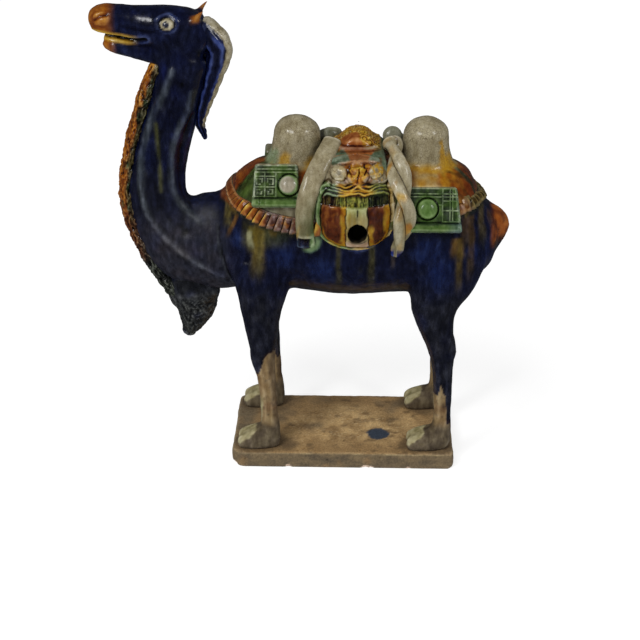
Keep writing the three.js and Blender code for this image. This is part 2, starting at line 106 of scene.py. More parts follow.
CHEST_LOCK = [(-160, 182, 24, 32), (-159, 157, 20, 27), (-158, 141, 15, 21), (-162, 124, 10, 13), (-166, 113, 6, 7)]
MANE = [
    (-186, 404, 11, 7), (-198, 374, 12, 8), (-209, 340, 12, 8), (-218, 305, 13, 8.5), (-222, 272, 13.5, 9),
    (-217, 238, 14, 9), (-203, 202, 16, 9), (-184, 171, 15, 9), (-169, 145, 11, 8),
]
WITHERS = [
    (-158, 252, 13, 16), (-148, 248, 18, 18.5), (-138, 246, 23, 20.5), (-126, 244, 28, 26), (-112, 244, 30, 34),
]
TAIL = [(141, 258, 10, 8), (154, 249, 10.5, 10), (161, 238, 9.5, 9.5), (157, 222, 7, 7), (152, 207, 4, 4)]
HUMPS = [
    [(-53, 284, 31, 37), (-51, 303, 26.5, 30), (-49.5, 320, 23, 25), (-48.5, 335, 22, 24)],
    [(84, 282, 31, 36), (82, 303, 26.5, 28), (81, 320, 23, 24), (80.5, 334, 22, 23.5)],
]
HUMP_DOME = 19
# Sections of a leg on the -Y side: x, y, z, half width across, half depth
FRONT_LEG = [
    (-84, -29, 208, 21, 37), (-84, -34, 180, 20, 29), (-85.5, -38, 157, 17, 22), (-84.5, -42, 122, 13, 16),
    (-83.3, -44, 99, 11.5, 12.3), (-81, -45, 86, 10.5, 10.7), (-79, -45, 51, 9.5, 9.6), (-78, -45, 30, 10, 10),
    (-78, -45, 8, 11, 12),
]
REAR_LEG = [
    (107, -25, 224, 26, 42), (101, -32, 195, 24, 37), (94, -37, 170, 20, 28), (94, -40, 150, 17, 21.5),
    (98.5, -42, 128, 13.5, 16.5), (102.5, -43, 112, 12, 14.5), (104, -44, 90, 10.5, 11.5), (105, -45, 53, 10, 10.3),
    (105, -45, 30, 10, 10), (105, -45, 8, 11, 12),
]
# A toe: distance ahead of the heel, y from the foot's middle, z, half width, half height
TOE = [(4, 3.5, 7, 8, 12), (16, 5.5, 9, 9.5, 14), (30, 7, 7, 9, 12.5), (41, 7.5, 5, 7.5, 9.5)]
FOOT_Y = 45
FRONT_HEEL_X = -67
REAR_HEEL_X = 113
# Sections of the saddlebag on the -Y side: z, half length, half depth
BAG = [
    (231, 27, 20), (238, 35, 26), (249, 42.5, 31), (263, 45, 33), (280, 44.5, 32), (295, 39.5, 27), (308, 33, 20),
    (318, 25, 13),
]
BAG_X = 10
BAG_Y = -33
VENT_X = 13
VENT_Z = 252
PAD = [
    (-42, 298, 34, 6), (-36, 311, 32, 8.5), (-20, 319, 30, 11), (0, 321, 28, 11), (20, 319, 30, 11),
    (36, 311, 32, 8.5), (42, 298, 34, 6),
]
ROLL_X, ROLL_Z, ROLL_RADIUS, ROLL_WIDTH = 12, 319, 21, 26
PLAIN_SKEIN = [
    (-13, -14, 330, 9.5, 6.5), (-19, -29, 322, 10, 6.5), (-27, -42, 310, 10, 6.5), (-34, -51, 295, 9.5, 6.5),
    (-38.5, -56, 279, 9.5, 6.5), (-39.5, -59, 260, 9, 6), (-38, -58, 238, 9, 6),
]
TWISTED_SKEIN = [
    (47, -12, 329, 9.5, 9), (49, -25, 324, 9.5, 7.5), (52.5, -41, 311, 11, 8), (56.5, -52, 295, 10.5, 8),
    (60, -57, 277, 10.5, 8), (58.5, -60, 258, 10, 7.5), (54, -59, 239, 8, 6.5), (51, -57, 228, 4, 4),
]
# Mat boards: x, y and z of the foot's middle, height, length at foot and top, the boss's x
BOARDS = {
    "board_front_near": (-68, -49, 275, 42, 48, 42, 13),
    "board_rear_near": (87, -54, 252, 44, 59, 48, -5),
    "board_front_far": (-62, 49, 272, 41, 48, 42, 11),
    "board_rear_far": (87, 54, 257, 44, 60, 44, -5),
}
# Lower edge of the saddle cloth and its frill on the flank: x, z
CLOTH_EDGE = [
    (-121, 274), (-116, 271.5), (-108, 267), (-97.5, 261.5), (-85, 255.5), (-70, 251), (-49, 247.5), (0, 244),
    (60, 244), (92, 248), (104, 256), (112, 263), (119, 267), (127, 267.5), (135, 269.5), (142, 272),
]

# Camera, in mm from the middle of the plinth's underside, and degrees; light
CAMERA_PLACE = (10.76, -1390.27, 823.35)
CAMERA_PITCH = 26
CAMERA_YAW = 1.5
LENS = 81.6
WORLD_LIGHT = 0.38
GLOSS_LIGHT = 0.05
SUN_LIGHT = 1.3
SUN_FROM = (-0.45, -0.65, 1.0)
SUN_SPREAD = 28
# The windows: place and size in metres, and power; all look at one place
WINDOWS = {
    "window_left": ((-0.95, -1.15, 1.35), (0.32, 0.5), 7),
    "window_right": ((1.05, -0.9, 1.3), (0.3, 0.45), 4.5),
}
WINDOW_AIM = (0, 0, 0.24)
FLOOR_REACH = 6.0
FLOOR_GLOW = 0.75

# Colours, sRGB
COBALT = (13, 21, 54)
COBALT_LIGHT = (18, 32, 92)
INK = (11, 13, 24)
AMBER = (146, 86, 14)
RUST = (98, 44, 12)
UMBER = (54, 28, 12)
YELLOW = (172, 134, 34)
GREEN = (68, 90, 52)
DEEP_GREEN = (34, 46, 32)
PALE_GREEN = (122, 138, 106)
GREY_GREEN = (94, 102, 82)
DARK_GREY_GREEN = (66, 84, 64)
CREAM = (158, 149, 122)
CREAM_SHADE = (132, 122, 96)
BUFF = (152, 122, 80)
OCHRE = (132, 104, 66)
GREY_CLAY = (104, 90, 68)
GREY_GLAZE = (40, 41, 46)
OLIVE = (66, 62, 26)
STRAW = (134, 108, 44)
SOIL = (66, 54, 42)


# Smooth lines and noise
def curve(rows, t):
    """Rows of a table read along a smooth line through them, at t from 0 to 1."""
    p = np.asarray(rows, float)
    p = np.vstack([2 * p[0] - p[1], p, 2 * p[-1] - p[-2]])
    s = np.clip(np.atleast_1d(t), 0, 1) * (len(p) - 3)
    i = np.minimum(s.astype(int), len(p) - 4)
    f = (s - i)[:, None]
    a, b, c, d = p[i], p[i + 1], p[i + 2], p[i + 3]
    return 0.5 * (2 * b + (c - a) * f + (2 * a - 5 * b + 4 * c - d) * f**2 + (3 * b - a - 3 * c + d) * f**3)


RNG = np.random.default_rng(11)
GRADIENTS = RNG.normal(size=(256, 3))
GRADIENTS /= np.linalg.norm(GRADIENTS, axis=1)[:, None]
SHUFFLE = RNG.permutation(256)
SCATTER = RNG.random((256, 3))
NOISE_STEP, CELL_STEP, NOISE_GAIN = 17.31, 9.7, 1.7


def lattice(i):
    """A number from 0 to 255 for each point of a whole-number lattice."""
    return SHUFFLE[(i[:, 0] + SHUFFLE[(i[:, 1] + SHUFFLE[i[:, 2] & 255]) & 255]) & 255]


def noise(p, size, seed=0):
    """Smooth noise of about -1 to 1 at points p, with features of the given size in mm."""
    q = np.asarray(p, float) / size + seed * NOISE_STEP
    i = np.floor(q).astype(int)
    f = q - i
    w = f * f * f * (f * (f * 6 - 15) + 10)
    total = np.zeros(len(q))
    for corner in np.ndindex(2, 2, 2):
        g = GRADIENTS[lattice(i + corner)]
        weight = np.prod(np.where(corner, w, 1 - w), axis=1)
        total += weight * ((f - corner) * g).sum(1)
    return total * NOISE_GAIN


def rough(p, size, seed=0):
    """Noise with finer noise on it."""
    return sum(noise(p, size / 2**k, seed + k) * 0.55**k for k in range(3))


def cells(p, size, seed=0):
    """Distance to the nearest scattered point, in shares of the cell size."""
    q = np.asarray(p, float) / size + seed * CELL_STEP
    i = np.floor(q).astype(int)
    near = np.full(len(q), 9.0)
    for corner in np.ndindex(3, 3, 3):
        cell = i + corner - 1
        d = np.linalg.norm(cell + SCATTER[lattice(cell)] - q, axis=1)
        near = np.minimum(near, d)
    return near


def ramp(x, low, high):
    """0 below low, 1 above high and smooth between; low may be the larger one."""
    t = np.clip((np.asarray(x, float) - low) / (high - low), 0, 1)
    return t * t * (3 - 2 * t)


def ridge(x, at, width):
    """1 on a line and 0 at half the width away from it."""
    return ramp(np.abs(x - at), width / 2, 0)


def linear(colour):
    """An sRGB colour of 0 to 255 as linear light."""
    c = np.asarray(colour, float) / 255
    return np.where(c <= 0.04045, c / 12.92, ((c + 0.055) / 1.055) ** 2.4)


def mix(a, b, t):
    """From a to b by t; colours are rows of linear light, or one sRGB triple."""
    a = linear(a) if isinstance(a, tuple) else a
    b = linear(b) if isinstance(b, tuple) else b
    return a + (b - a) * np.clip(np.reshape(np.asarray(t, float), (-1, 1)), 0, 1)


# Meshes
def placed(name, data):
    """A new object in the scene."""
    made = bpy.data.objects.new(name, data)
    bpy.context.scene.collection.objects.link(made)
    return made


def make(name, points, faces, smooth=True):
    """A mesh object from points in mm above the plinth's top."""
    mesh = bpy.data.meshes.new(name)
    lifted = (np.asarray(points) + (0, 0, PLINTH_HEIGHT)) * MM
    mesh.from_pydata(lifted.tolist(), [], [tuple(f) for f in faces])
    if smooth:
        mesh.shade_smooth()
    mesh.update()
    return placed(name, mesh)


def unit(vectors):
    """Vectors brought to a length of 1."""
    return vectors / np.maximum(np.linalg.norm(vectors, axis=-1, keepdims=True), 1e-9)


def loft(stations, around, along, power=2.0, ends=(6, 6), side=(0, 1, 0), cap=CAP_RINGS):
    """Rings of points (rings, around, 3) through oval sections: x, y, z, half width, half depth. With them come
    each ring's share of the length and each point's angle."""
    stations = np.asarray(stations, float)
    t = np.linspace(0, 1, (len(stations) - 1) * along + 1)
    at = curve(stations[:, :3], t)
    step = 1e-4
    tangent = unit(curve(stations[:, :3], t + step * (t < 0.5)) - curve(stations[:, :3], t - step * (t >= 0.5)))
    size = np.maximum(curve(stations[:, 3:5], t), LEAST_HALF)
    arc = np.linspace(0, math.pi / 2, cap + 1)[1:]
    reach, shrink = np.sin(arc)[:, None], np.maximum(np.cos(arc), LEAST_CAP)[:, None]
    first = at[0] - tangent[0] * ends[0] * reach
    last = at[-1] + tangent[-1] * ends[1] * reach
    at = np.vstack([first[::-1], at, last])
    size = np.vstack([(size[0] * shrink)[::-1], size, size[-1] * shrink])
    tangent = np.vstack([np.repeat(tangent[:1], cap, 0), tangent, np.repeat(tangent[-1:], cap, 0)])
    t = np.concatenate([np.zeros(cap), t, np.ones(cap)])
    side = np.asarray(side, float)
    across = side - tangent * (tangent @ side)[:, None]
    across /= np.linalg.norm(across, axis=1)[:, None]
    inward = np.cross(tangent, across)
    angle = np.linspace(0, 2 * math.pi, around, endpoint=False)
    c, s = (np.sign(wave) * np.abs(wave) ** (2 / power) for wave in (np.cos(angle), np.sin(angle)))
    a, b = size[:, :1] * c, size[:, 1:] * s
    return at[:, None] + a[..., None] * across[:, None] + b[..., None] * inward[:, None], t, angle


def tube(rings):
    """The points and faces of a closed surface through rings."""
    m, n = rings.shape[:2]
    i, j = np.meshgrid(np.arange(m - 1), np.arange(n), indexing="ij")
    k = (j + 1) % n
    quads = np.stack([i * n + j, i * n + k, (i + 1) * n + k, (i + 1) * n + j], -1).reshape(-1, 4)
    return rings.reshape(-1, 3), quads.tolist() + [tuple(np.arange(n)[::-1]), tuple((m - 1) * n + np.arange(n))]


def rounded(stations, around, along, **shape):
    """The points and faces of a closed surface through oval sections."""
    return tube(loft(stations, around, along, **shape)[0])


def gather(parts):
    """Several (points, faces) as one."""
    points, faces, offset = [], [], 0
    for p, f in parts:
        points.append(p)
        faces += [[v + offset for v in face] for face in f]
        offset += len(p)
    return np.vstack(points), faces


def slab(front, back):
    """A closed sheet between two grids of points (rows, columns, 3), front facing out."""
    m, n = front.shape[:2]
    i, j = np.meshgrid(np.arange(m - 1), np.arange(n - 1), indexing="ij")
    quad = np.stack([i * n + j, (i + 1) * n + j, (i + 1) * n + j + 1, i * n + j + 1], -1).reshape(-1, 4)
    count = m * n
    rim = np.concatenate([
        np.arange(n), np.arange(1, m) * n + n - 1, (m - 1) * n + np.arange(n - 2, -1, -1), np.arange(m - 2, 0, -1) * n
    ])
    nxt = np.roll(rim, -1)
    sides = np.stack([rim, nxt, nxt + count, rim + count], -1)
    faces = np.vstack([quad, quad[:, ::-1] + count, sides])
    return np.vstack([front.reshape(-1, 3), back.reshape(-1, 3)]), faces.tolist()


def shown_mesh(piece):
    """A piece as its modifier shapes it, with its mesh and its points in mm above the plinth's top."""
    shown = piece.evaluated_get(bpy.context.evaluated_depsgraph_get())
    mesh = shown.to_mesh()
    co = np.zeros(len(mesh.vertices) * 3, np.float32)
    mesh.vertices.foreach_get("co", co)
    return shown, mesh, co.reshape(-1, 3).astype(float) / MM - (0, 0, PLINTH_HEIGHT)


def voxelled(points, faces, size):
    """The outer surface of overlapping closed surfaces, remade with even faces of the given size."""
    piece = make("blank", points, faces, False)
    change = piece.modifiers.new("even", "REMESH")
    change.mode = "VOXEL"
    change.voxel_size = size * MM
    shown, mesh, remade = shown_mesh(piece)
    corners = np.zeros(len(mesh.loops), np.int32)
    mesh.loops.foreach_get("vertex_index", corners)
    shown.to_mesh_clear()
    bpy.data.objects.remove(piece)
    return remade, corners.reshape(-1, 4)


def edges_of(faces):
    """Each edge of a mesh of quads once, as two columns of points."""
    f = np.asarray(faces)
    pairs = np.vstack([f[:, [k, (k + 1) % f.shape[1]]] for k in range(f.shape[1])])
    return np.unique(np.sort(pairs, axis=1), axis=0)


def relaxed(points, edges, rounds, share=0.5):
    """Points moved towards the middle of their neighbours."""
    a, b = edges.T
    count = np.bincount(a, minlength=len(points)) + np.bincount(b, minlength=len(points))
    free = share * (count > 0)[:, None]
    count = np.maximum(count, 1)[:, None]
    for _ in range(rounds):
        total = np.stack([
            np.bincount(a, points[b, k], len(points)) + np.bincount(b, points[a, k], len(points)) for k in range(3)
        ], 1)
        points = points + free * (total / count - points)
    return points


def fused(parts, size, rounds, share):
    """Overlapping closed surfaces as one relaxed skin of even faces, with its edges."""
    points, faces = voxelled(*gather(parts), size)
    edges = edges_of(faces)
    return relaxed(points, edges, rounds, share), faces, edges


def normals(points, faces):
    """The way out at each point of a mesh of quads or triangles."""
    f = np.asarray(faces)
    across = np.cross(points[f[:, 2]] - points[f[:, 0]], points[f[:, -1]] - points[f[:, 1]])
    return unit(np.stack([
        sum(np.bincount(f[:, c], across[:, k], len(points)) for c in range(f.shape[1])) for k in range(3)
    ], 1))


def outward(points, faces):
    """The same closed surface, turned to face out if it faced in."""
    f = np.array([face[:3] for face in faces] + [[face[0], face[2], face[-1]] for face in faces if len(face) == 4])
    a, b, c = points[f[:, 0]], points[f[:, 1]], points[f[:, 2]]
    return (points, faces) if (a * np.cross(b, c)).sum() > 0 else (points, [list(face)[::-1] for face in faces])


def hollowness(points, faces):
    """How far each point lies under the smoothed surface, in mm: more than 0 in hollows, less on edges."""
    quads = np.array([face for face in faces if len(face) == 4])
    edges = edges_of(quads)
    spacing = np.median(np.linalg.norm(points[edges[:, 0]] - points[edges[:, 1]], axis=1))
    rounds = int(np.clip(2 * (HOLLOW_REACH / spacing) ** 2, 3, 36))
    return ((relaxed(points, edges, rounds, 0.6) - points) * normals(points, quads)).sum(1)


def from_line(x, z, points):
    """Distance in the x-z plane to a smooth line through a few places."""
    line = curve(points, np.linspace(0, 1, 6 * len(points)))
    near = np.full(len(x), 1e9)
    for (x0, z0), (dx, dz) in zip(line[:-1], np.diff(line, axis=0)):
        t = np.clip(((x - x0) * dx + (z - z0) * dz) / (dx * dx + dz * dz), 0, 1)
        near = np.minimum(near, np.hypot(x - x0 - t * dx, z - z0 - t * dz))
    return near


def dome(x, z, at_x, at_z, rx, rz):
    """1 at the middle of an oval, round like a ball, and 0 outside it."""
    return np.sqrt(np.clip(1 - ((x - at_x) / rx) ** 2 - ((z - at_z) / rz) ** 2, 0, 1))


def middle_rows(table):
    """Sections in the middle plane, from rows of x, z and sizes."""
    return [(x, 0, *rest) for x, *rest in table]


def flank_rows(table, way):
    """Sections on either flank, from a table of the near one."""
    return [(x, -way * y, *rest) for x, y, *rest in table]


# The trunk's skin, which the gear lies on, read at even steps of x and of the angle from the near flank over the
# ridge to the far one. Its rings are square to the spine, so they lean towards the ends.
EDGE_LINE = curve(CLOTH_EDGE, np.linspace(0, 1, 400))
SKIN_START, SKIN_END, SKIN_STEPS = -136, 162, 180


def trunk_skin():
    rings = loft(middle_rows(TRUNK), 2 * SKIN_STEPS, 20, TRUNK_POWER)[0]
    rings = rings[CAP_RINGS:-CAP_RINGS, SKIN_STEPS::-1]
    at = np.arange(SKIN_START, SKIN_END + 1)
    along = np.maximum.accumulate(rings[..., 0], 0)
    read = [[np.interp(at, along[:, j], rings[:, j, k]) for k in (1, 2)] for j in range(SKIN_STEPS + 1)]
    y, z = np.array(read).transpose(1, 2, 0)
    (y_x, y_a), (z_x, z_a) = np.gradient(y), np.gradient(z)
    out = unit(np.stack([y_x * z_a - z_x * y_a, -z_a, y_a], -1))
    return np.concatenate([y[..., None], z[..., None], out], -1)


SKIN = trunk_skin()


def skin_at(x, angle):
    """The trunk's skin: y, z and the way out, as five columns."""
    i = np.clip(x - SKIN_START, 0, SKIN_END - SKIN_START - 1e-6)
    j = np.clip(angle / math.pi * SKIN_STEPS, 0, SKIN_STEPS - 1e-6)
    i0, j0 = np.floor(i).astype(int), np.floor(j).astype(int)
    fi, fj = (i - i0)[..., None], (j - j0)[..., None]
    low = SKIN[i0, j0] * (1 - fi) + SKIN[i0 + 1, j0] * fi
    return low * (1 - fj) + (SKIN[i0, j0 + 1] * (1 - fi) + SKIN[i0 + 1, j0 + 1] * fi) * fj


def cloth_edge(x):
    return np.interp(x, EDGE_LINE[:, 0], EDGE_LINE[:, 1])


def halved(x, high, too_low):
    """For each x, the value from 0 to high at which too_low stops being true."""
    low, high = 0 * x, 0 * x + high
    for _ in range(20):
        middle = (low + high) / 2
        under = too_low(middle)
        low, high = np.where(under, middle, low), np.where(under, high, middle)
    return low


def angle_at(x, z):
    """The angle at which the trunk's near flank stands at height z."""
    return halved(x, math.pi / 2, lambda angle: skin_at(x, angle)[..., 1] < z)


def on_trunk(x, angle, lift):
    """Points over the trunk's skin by lift; the angle runs from the near flank over the ridge to the far one."""
    skin = skin_at(x, angle)
    lift = (lift + 0 * x)[..., None]
    return np.concatenate([x[..., None], skin[..., :2]], -1) + lift * skin[..., 2:]


def angle_towards(points):
    """The angle at which the trunk's skin lies under points near it."""
    x, y, z = np.moveaxis(points, -1, 0)
    middle_z = TRUNK[len(TRUNK) // 2][1]
    wanted = np.arctan2(z - middle_z, -y)

    def too_low(angle):
        skin = skin_at(x, angle)
        return np.arctan2(skin[..., 1] - middle_z, -skin[..., 0]) < wanted

    return halved(x, math.pi, too_low)


# Glaze colours over the whole figure
def paint(tint, bare=0.0, crackle=0.0):
    """What a piece's material reads at each point: colour, bare clay instead of glaze, and crackle."""
    count = len(tint)
    return {"tint": tint, "bare": np.zeros(count) + bare, "crackle": np.zeros(count) + crackle}


def runs(x, z, top, length, seed, spacing):
    """Glaze that has run down from the height top: 1 in a run, fading at its end; each run has its own length."""
    across = np.stack([x, 0 * x, 0 * x], 1)
    strength = np.clip(0.5 + 0.9 * noise(across, spacing, seed) + 0.4 * noise(across, spacing * 3.1, seed + 1), 0, 1.6)
    below = top - z
    return ramp(below, length * strength, length * strength * 0.35) * ramp(strength, 0.25, 0.75) * (below > -2)


def drip(x, z, at, top, length, width, lean):
    """One run of glaze from the place at, as wide as said, fading at its end."""
    below = top - z
    half = width * (0.5 + 0.25 * np.clip(below / length, 0, 1))
    inside = ramp(np.abs(x - at - lean * below), half, half * 0.3)
    return inside * ramp(below, length, length * 0.6) * ramp(below, -3, 1)


def cobalt(p, seed=3):
    """The dark blue glaze: thin and bright where it runs, nearly black where it lies thick."""
    streak = noise(p * (1, 1, 0.25), 13, seed)
    patch = rough(p * (1, 1, 0.7), 34, seed + 5)
    tint = mix(COBALT, INK, 0.5 + 0.55 * patch + 0.08 * streak)
    return mix(tint, COBALT_LIGHT, 0.5 * ramp(0.2 * streak + patch, 0.2, 1.1))


def glaze_depth_and_shade(points, faces, pooling_and_shade):
    """Glaze is thick and dark in the hollows, and thin and pale on the edges; the darkening in the hollows is partly
    pooled glaze and partly painted shade.
    """
    sunk = hollowness(points, faces)
    return 1 + pooling_and_shade * (1.1 * ramp(sunk, 0.06, 0.9) - 0.38 * ramp(-sunk, 0.06, 0.7))


def dress(name, points, faces, colours, material, node="camel", pooling_and_shade=1.0):
    """A finished piece that stands for a solid: its mesh, what its material reads, and what it rides on."""
    piece = make(name, points, faces)
    mesh = piece.data
    rgba = np.ones((len(points), 4))
    # The tint is deepened in the hollows, partly as painted shade, and paled on the edges.
    rgba[:, :3] = np.clip(colours["tint"], 0.0005, 1) ** glaze_depth_and_shade(points, faces, pooling_and_shade)[:, None]
    mesh.color_attributes.new("tint", "FLOAT_COLOR", "POINT").data.foreach_set("color", rgba.ravel())
    for key in ("bare", "crackle"):
        mesh.attributes.new(key, "FLOAT", "POINT").data.foreach_set("value", np.clip(colours[key], 0, 1))
    mesh.materials.append(material)
    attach(piece, "root")
    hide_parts(node)


# Long ridges down the neck's side, and the hollows between them: x and z along each, height and reach
NECK_RIDGES = [
    ([(-170, 402), (-178, 382), (-192, 354), (-203.5, 318), (-205.5, 276), (-196, 246), (-173.5, 221), (-150, 203),
      (-124, 190)], 2.2, 7.5),
    ([(-150, 380), (-156, 362), (-167.4, 339), (-174.4, 312), (-174.1, 281), (-166, 262), (-152, 250), (-142, 247)],
     2.2, 6.5),
    ([(-160, 388), (-168, 372), (-180, 345), (-190, 314), (-191, 278), (-182, 254), (-162, 238)], -2.2, 10),
    ([(-152, 356), (-160, 336), (-166, 312), (-166, 284), (-158, 266)], -1.8, 5.5),
]
NECK_CREASE = [(-127, 244), (-126.3, 234), (-124.5, 220.5), (-119.4, 198.3), (-113, 182)]
MOUTH = [(-248, 437), (-236, 435), (-222, 433), (-206, 431), (-194, 433)]


# The camel's own body: trunk, neck, head, legs, feet and tail as one skin
def leg_parts(table, heel, way):
    toes = [[(heel - ahead, way * FOOT_Y + fork * y, *rest) for ahead, y, *rest in TOE] for fork in (-1, 1)]
    return [rounded(flank_rows(table, way), 40, 6, ends=(4, 2))] + [rounded(toe, 28, 5, ends=(5, 6)) for toe in toes]


def body_parts():
    parts = [
        rounded(middle_rows(TRUNK), 72, 5, power=TRUNK_POWER, ends=(10, 8)),
        rounded(middle_rows(NECK), 56, 6, ends=(4, 8)),
        rounded(middle_rows(WITHERS), 48, 6),
        rounded(middle_rows(TAIL), 32, 5),
        rounded(middle_rows(SKULL), 48, 6, ends=(8, 5)),
        rounded(middle_rows(JAW), 36, 6, ends=(5, 5)),
    ]
    for way in (NEAR, FAR):
        parts += leg_parts(FRONT_LEG, FRONT_HEEL_X, way) + leg_parts(REAR_LEG, REAR_HEEL_X, way)
        parts.append(rounded([(x, way * y, *rest) for x, y, *rest in EAR], 20, 5, ends=(3, 3)))
    return parts


def swell(z, at, reach):
    """1 at the height at, round like a ball, and 0 beyond its reach."""
    return dome(0 * z, z, 0, at, 1, reach)


def carve_body(p, n):
    """How far the carving stands out of the smooth body at each point, in mm."""
    x, y, z = p.T
    side = np.abs(y)
    rise = 0.35 * rough(p, 16, 1) + 0.12 * noise(p, 4, 5)
    # The neck: two long muscles with hollows between them, fading into the chest
    neck = ramp(z, 225, 275) * ramp(z, 432, 405) * ramp(x, -120, -135)
    near_skin = ramp(side, 5, 12)
    for k, (line, height, width) in enumerate(NECK_RIDGES):
        fading = ramp(x, -142, -162) if k else 1
        rise += near_skin * fading * height * ramp(from_line(x, z, line), width, 0)
    rise += 0.4 * neck * noise(p * (1, 1, 0.15), 7, 32)
    # The fold between the neck's root and the shoulder
    crease = from_line(x, z, NECK_CREASE)
    rise -= ramp(side, 14, 22) * 0.8 * ramp(crease, 2.4, 0)
    # The shoulder blade, the elbow, the haunch and the stifle
    flank = ramp(side, 22, 34)
    rise += flank * 2.0 * dome(x, z, -88, 212, 34, 40) ** 1.5
    rise += flank * 2.2 * dome(x, z, 104, 216, 34, 44) ** 1.5
    rise -= flank * 1.2 * dome(x, z, -52, 186, 16, 22)
    rise -= flank * 1.4 * dome(x, z, 70, 186, 14, 24)
    # Ribs, only just felt, between the legs
    rib = np.sin(x / 6.5) * ramp(z, 168, 182) * ramp(z, 238, 215) * ramp(x, -46, -30) * ramp(x, 66, 50)
    rise += 0.25 * flank * rib
    # Knees, hocks and the tendons down the legs
    front = ramp(x, -40, -60) * ramp(x, -125, -110) * ramp(z, 150, 140)
    rear = ramp(x, 50, 66)
    low = front + rear * ramp(z, 165, 150)
    rise += front * ramp(n[:, 0], 0.1, -0.7) * 1.3 * swell(z, 98, 14)
    rise += rear * ramp(n[:, 0], 0, 0.8) * 1.6 * swell(z, 118, 13)
    rise -= low * ramp(np.abs(n[:, 0]), 0.35, 0.05) * 0.9 * ramp(z, 24, 40) * ramp(z, 125, 95)
    rise += low * ramp(n[:, 0], 0.1, 0.8) * 0.8 * swell(z, 26, 10)
    # The face: eye sockets, lids, cheeks, nostrils and lips
    face = ramp(z, 398, 408) * ramp(x, -132, -142)
    ex, _, ez, er = EYE
    near_eye = np.hypot((x - ex) * 0.85, (z - ez) * 1.15)
    cheek = ramp(side, 8, 13)
    rise += face * cheek * (2.6 * dome(x, z, ex, ez, er * 1.1, er * 0.8) + 1.4 * ramp(np.abs(near_eye - 8.5), 2.6, 0))
    rise += face * cheek * 1.5 * ramp(from_line(x, z, [(ex - 11, ez + 4), (ex, ez + 9), (ex + 10, ez + 4)]), 3, 0)
    rise -= face * cheek * 1.3 * ramp(from_line(x, z, [(ex - 14, ez - 8), (-196, 441), (-216, 445)]), 5, 0)
    rise += face * 1.6 * dome(x, z, -236, 452, 9, 7) * ramp(side, 4, 8)
    rise -= face * 2.6 * ramp(from_line(x, z, [(-243, 451), (-237, 455), (-231, 456)]), 2.4, 0) * ramp(side, 3, 6)
    from_mouth = from_line(x, z, MOUTH)
    rise += face * (1.2 * ramp(np.abs(from_mouth - 3.6), 3, 0) - 2.2 * ramp(from_mouth, 2.3, 0.3))
    return rise


def leg_glaze_end(p):
    """The height at which the glaze stops on each leg."""
    x, y, _ = p.T
    near = y < 0
    front = 108 - 20 * ramp(x, -80, -90) + 4 * ramp(x, -84, -74)
    front = np.where(near, front, 62 + 26 * ramp(x, -74, -84))
    rear = 64 + 13 * ridge(x, 102.5, 7) - 34 * ramp(x, 107.5, 110.5)
    rear = np.where(near, rear, 70 - 30 * ramp(x, 100, 92))
    return np.where(x < 0, front, rear) + 2.2 * noise(p, 9, 4) + 1.2 * noise(p, 3.5, 6)


# Where glaze has run down a flank, with one painted highlight among them: x, height of its top, length, width, lean,
# strength and colour
FLANK_RUNS = [
    (-116, 266, 24, 10, -0.1, 0.6, (100, 88, 30)), (-107, 262, 30, 5, -0.45, 0.7, (112, 78, 26)),
    (-98, 256, 34, 12, 0, 0.55, OLIVE), (-78, 251, 24, 44, 0, 0.6, (76, 76, 38)),
    (-92, 252, 34, 12, 0, 0.6, (112, 100, 34)), (-85, 250, 60, 15, -0.05, 0.75, (108, 92, 32)),
    # The pale cream run at x -95 stands for a painted highlight.
    (-95, 247, 22, 7, 0.1, 0.75, (146, 146, 114)), (-84.5, 246, 62, 5, -0.03, 0.5, OLIVE),
    (-62, 249, 16, 18, 0, 0.55, DEEP_GREEN),
    (-5.5, 236, 62, 7, 0, 0.65, OLIVE), (27.5, 236, 58, 8, 0, 0.65, OLIVE), (49, 228, 22, 5, 0, 0.3, GREY_CLAY),
    (112, 242, 24, 15, 0.08, 0.7, (108, 80, 22)), (115, 242, 66, 8, 0.02, 0.7, (88, 72, 22)),
    (121, 262, 34, 12, 0, 0.5, (96, 74, 44)), (127, 262, 78, 8, 0, 0.6, (84, 64, 26)),
    (137, 268, 40, 9, 0.05, 0.55, (84, 72, 28)), (146, 272, 30, 7, 0.1, 0.5, (96, 66, 20)),
]
# Broad brighter patches of the blue on the flank: x, height, reach
BLUE_PATCHES = [(-106, 236, 13), (-62, 226, 20), (-20, 206, 22), (84, 226, 22), (98, 204, 18), (128, 226, 9)]


# Where the pale toe begins on a foot: distance ahead of the heel, and the height above which it is pale
PALE_TOE = ((0, 15, 17.5, 19.5, 28, 36, 42, 48), (90, 80, 52, 30, 17, 12, 7, 3))


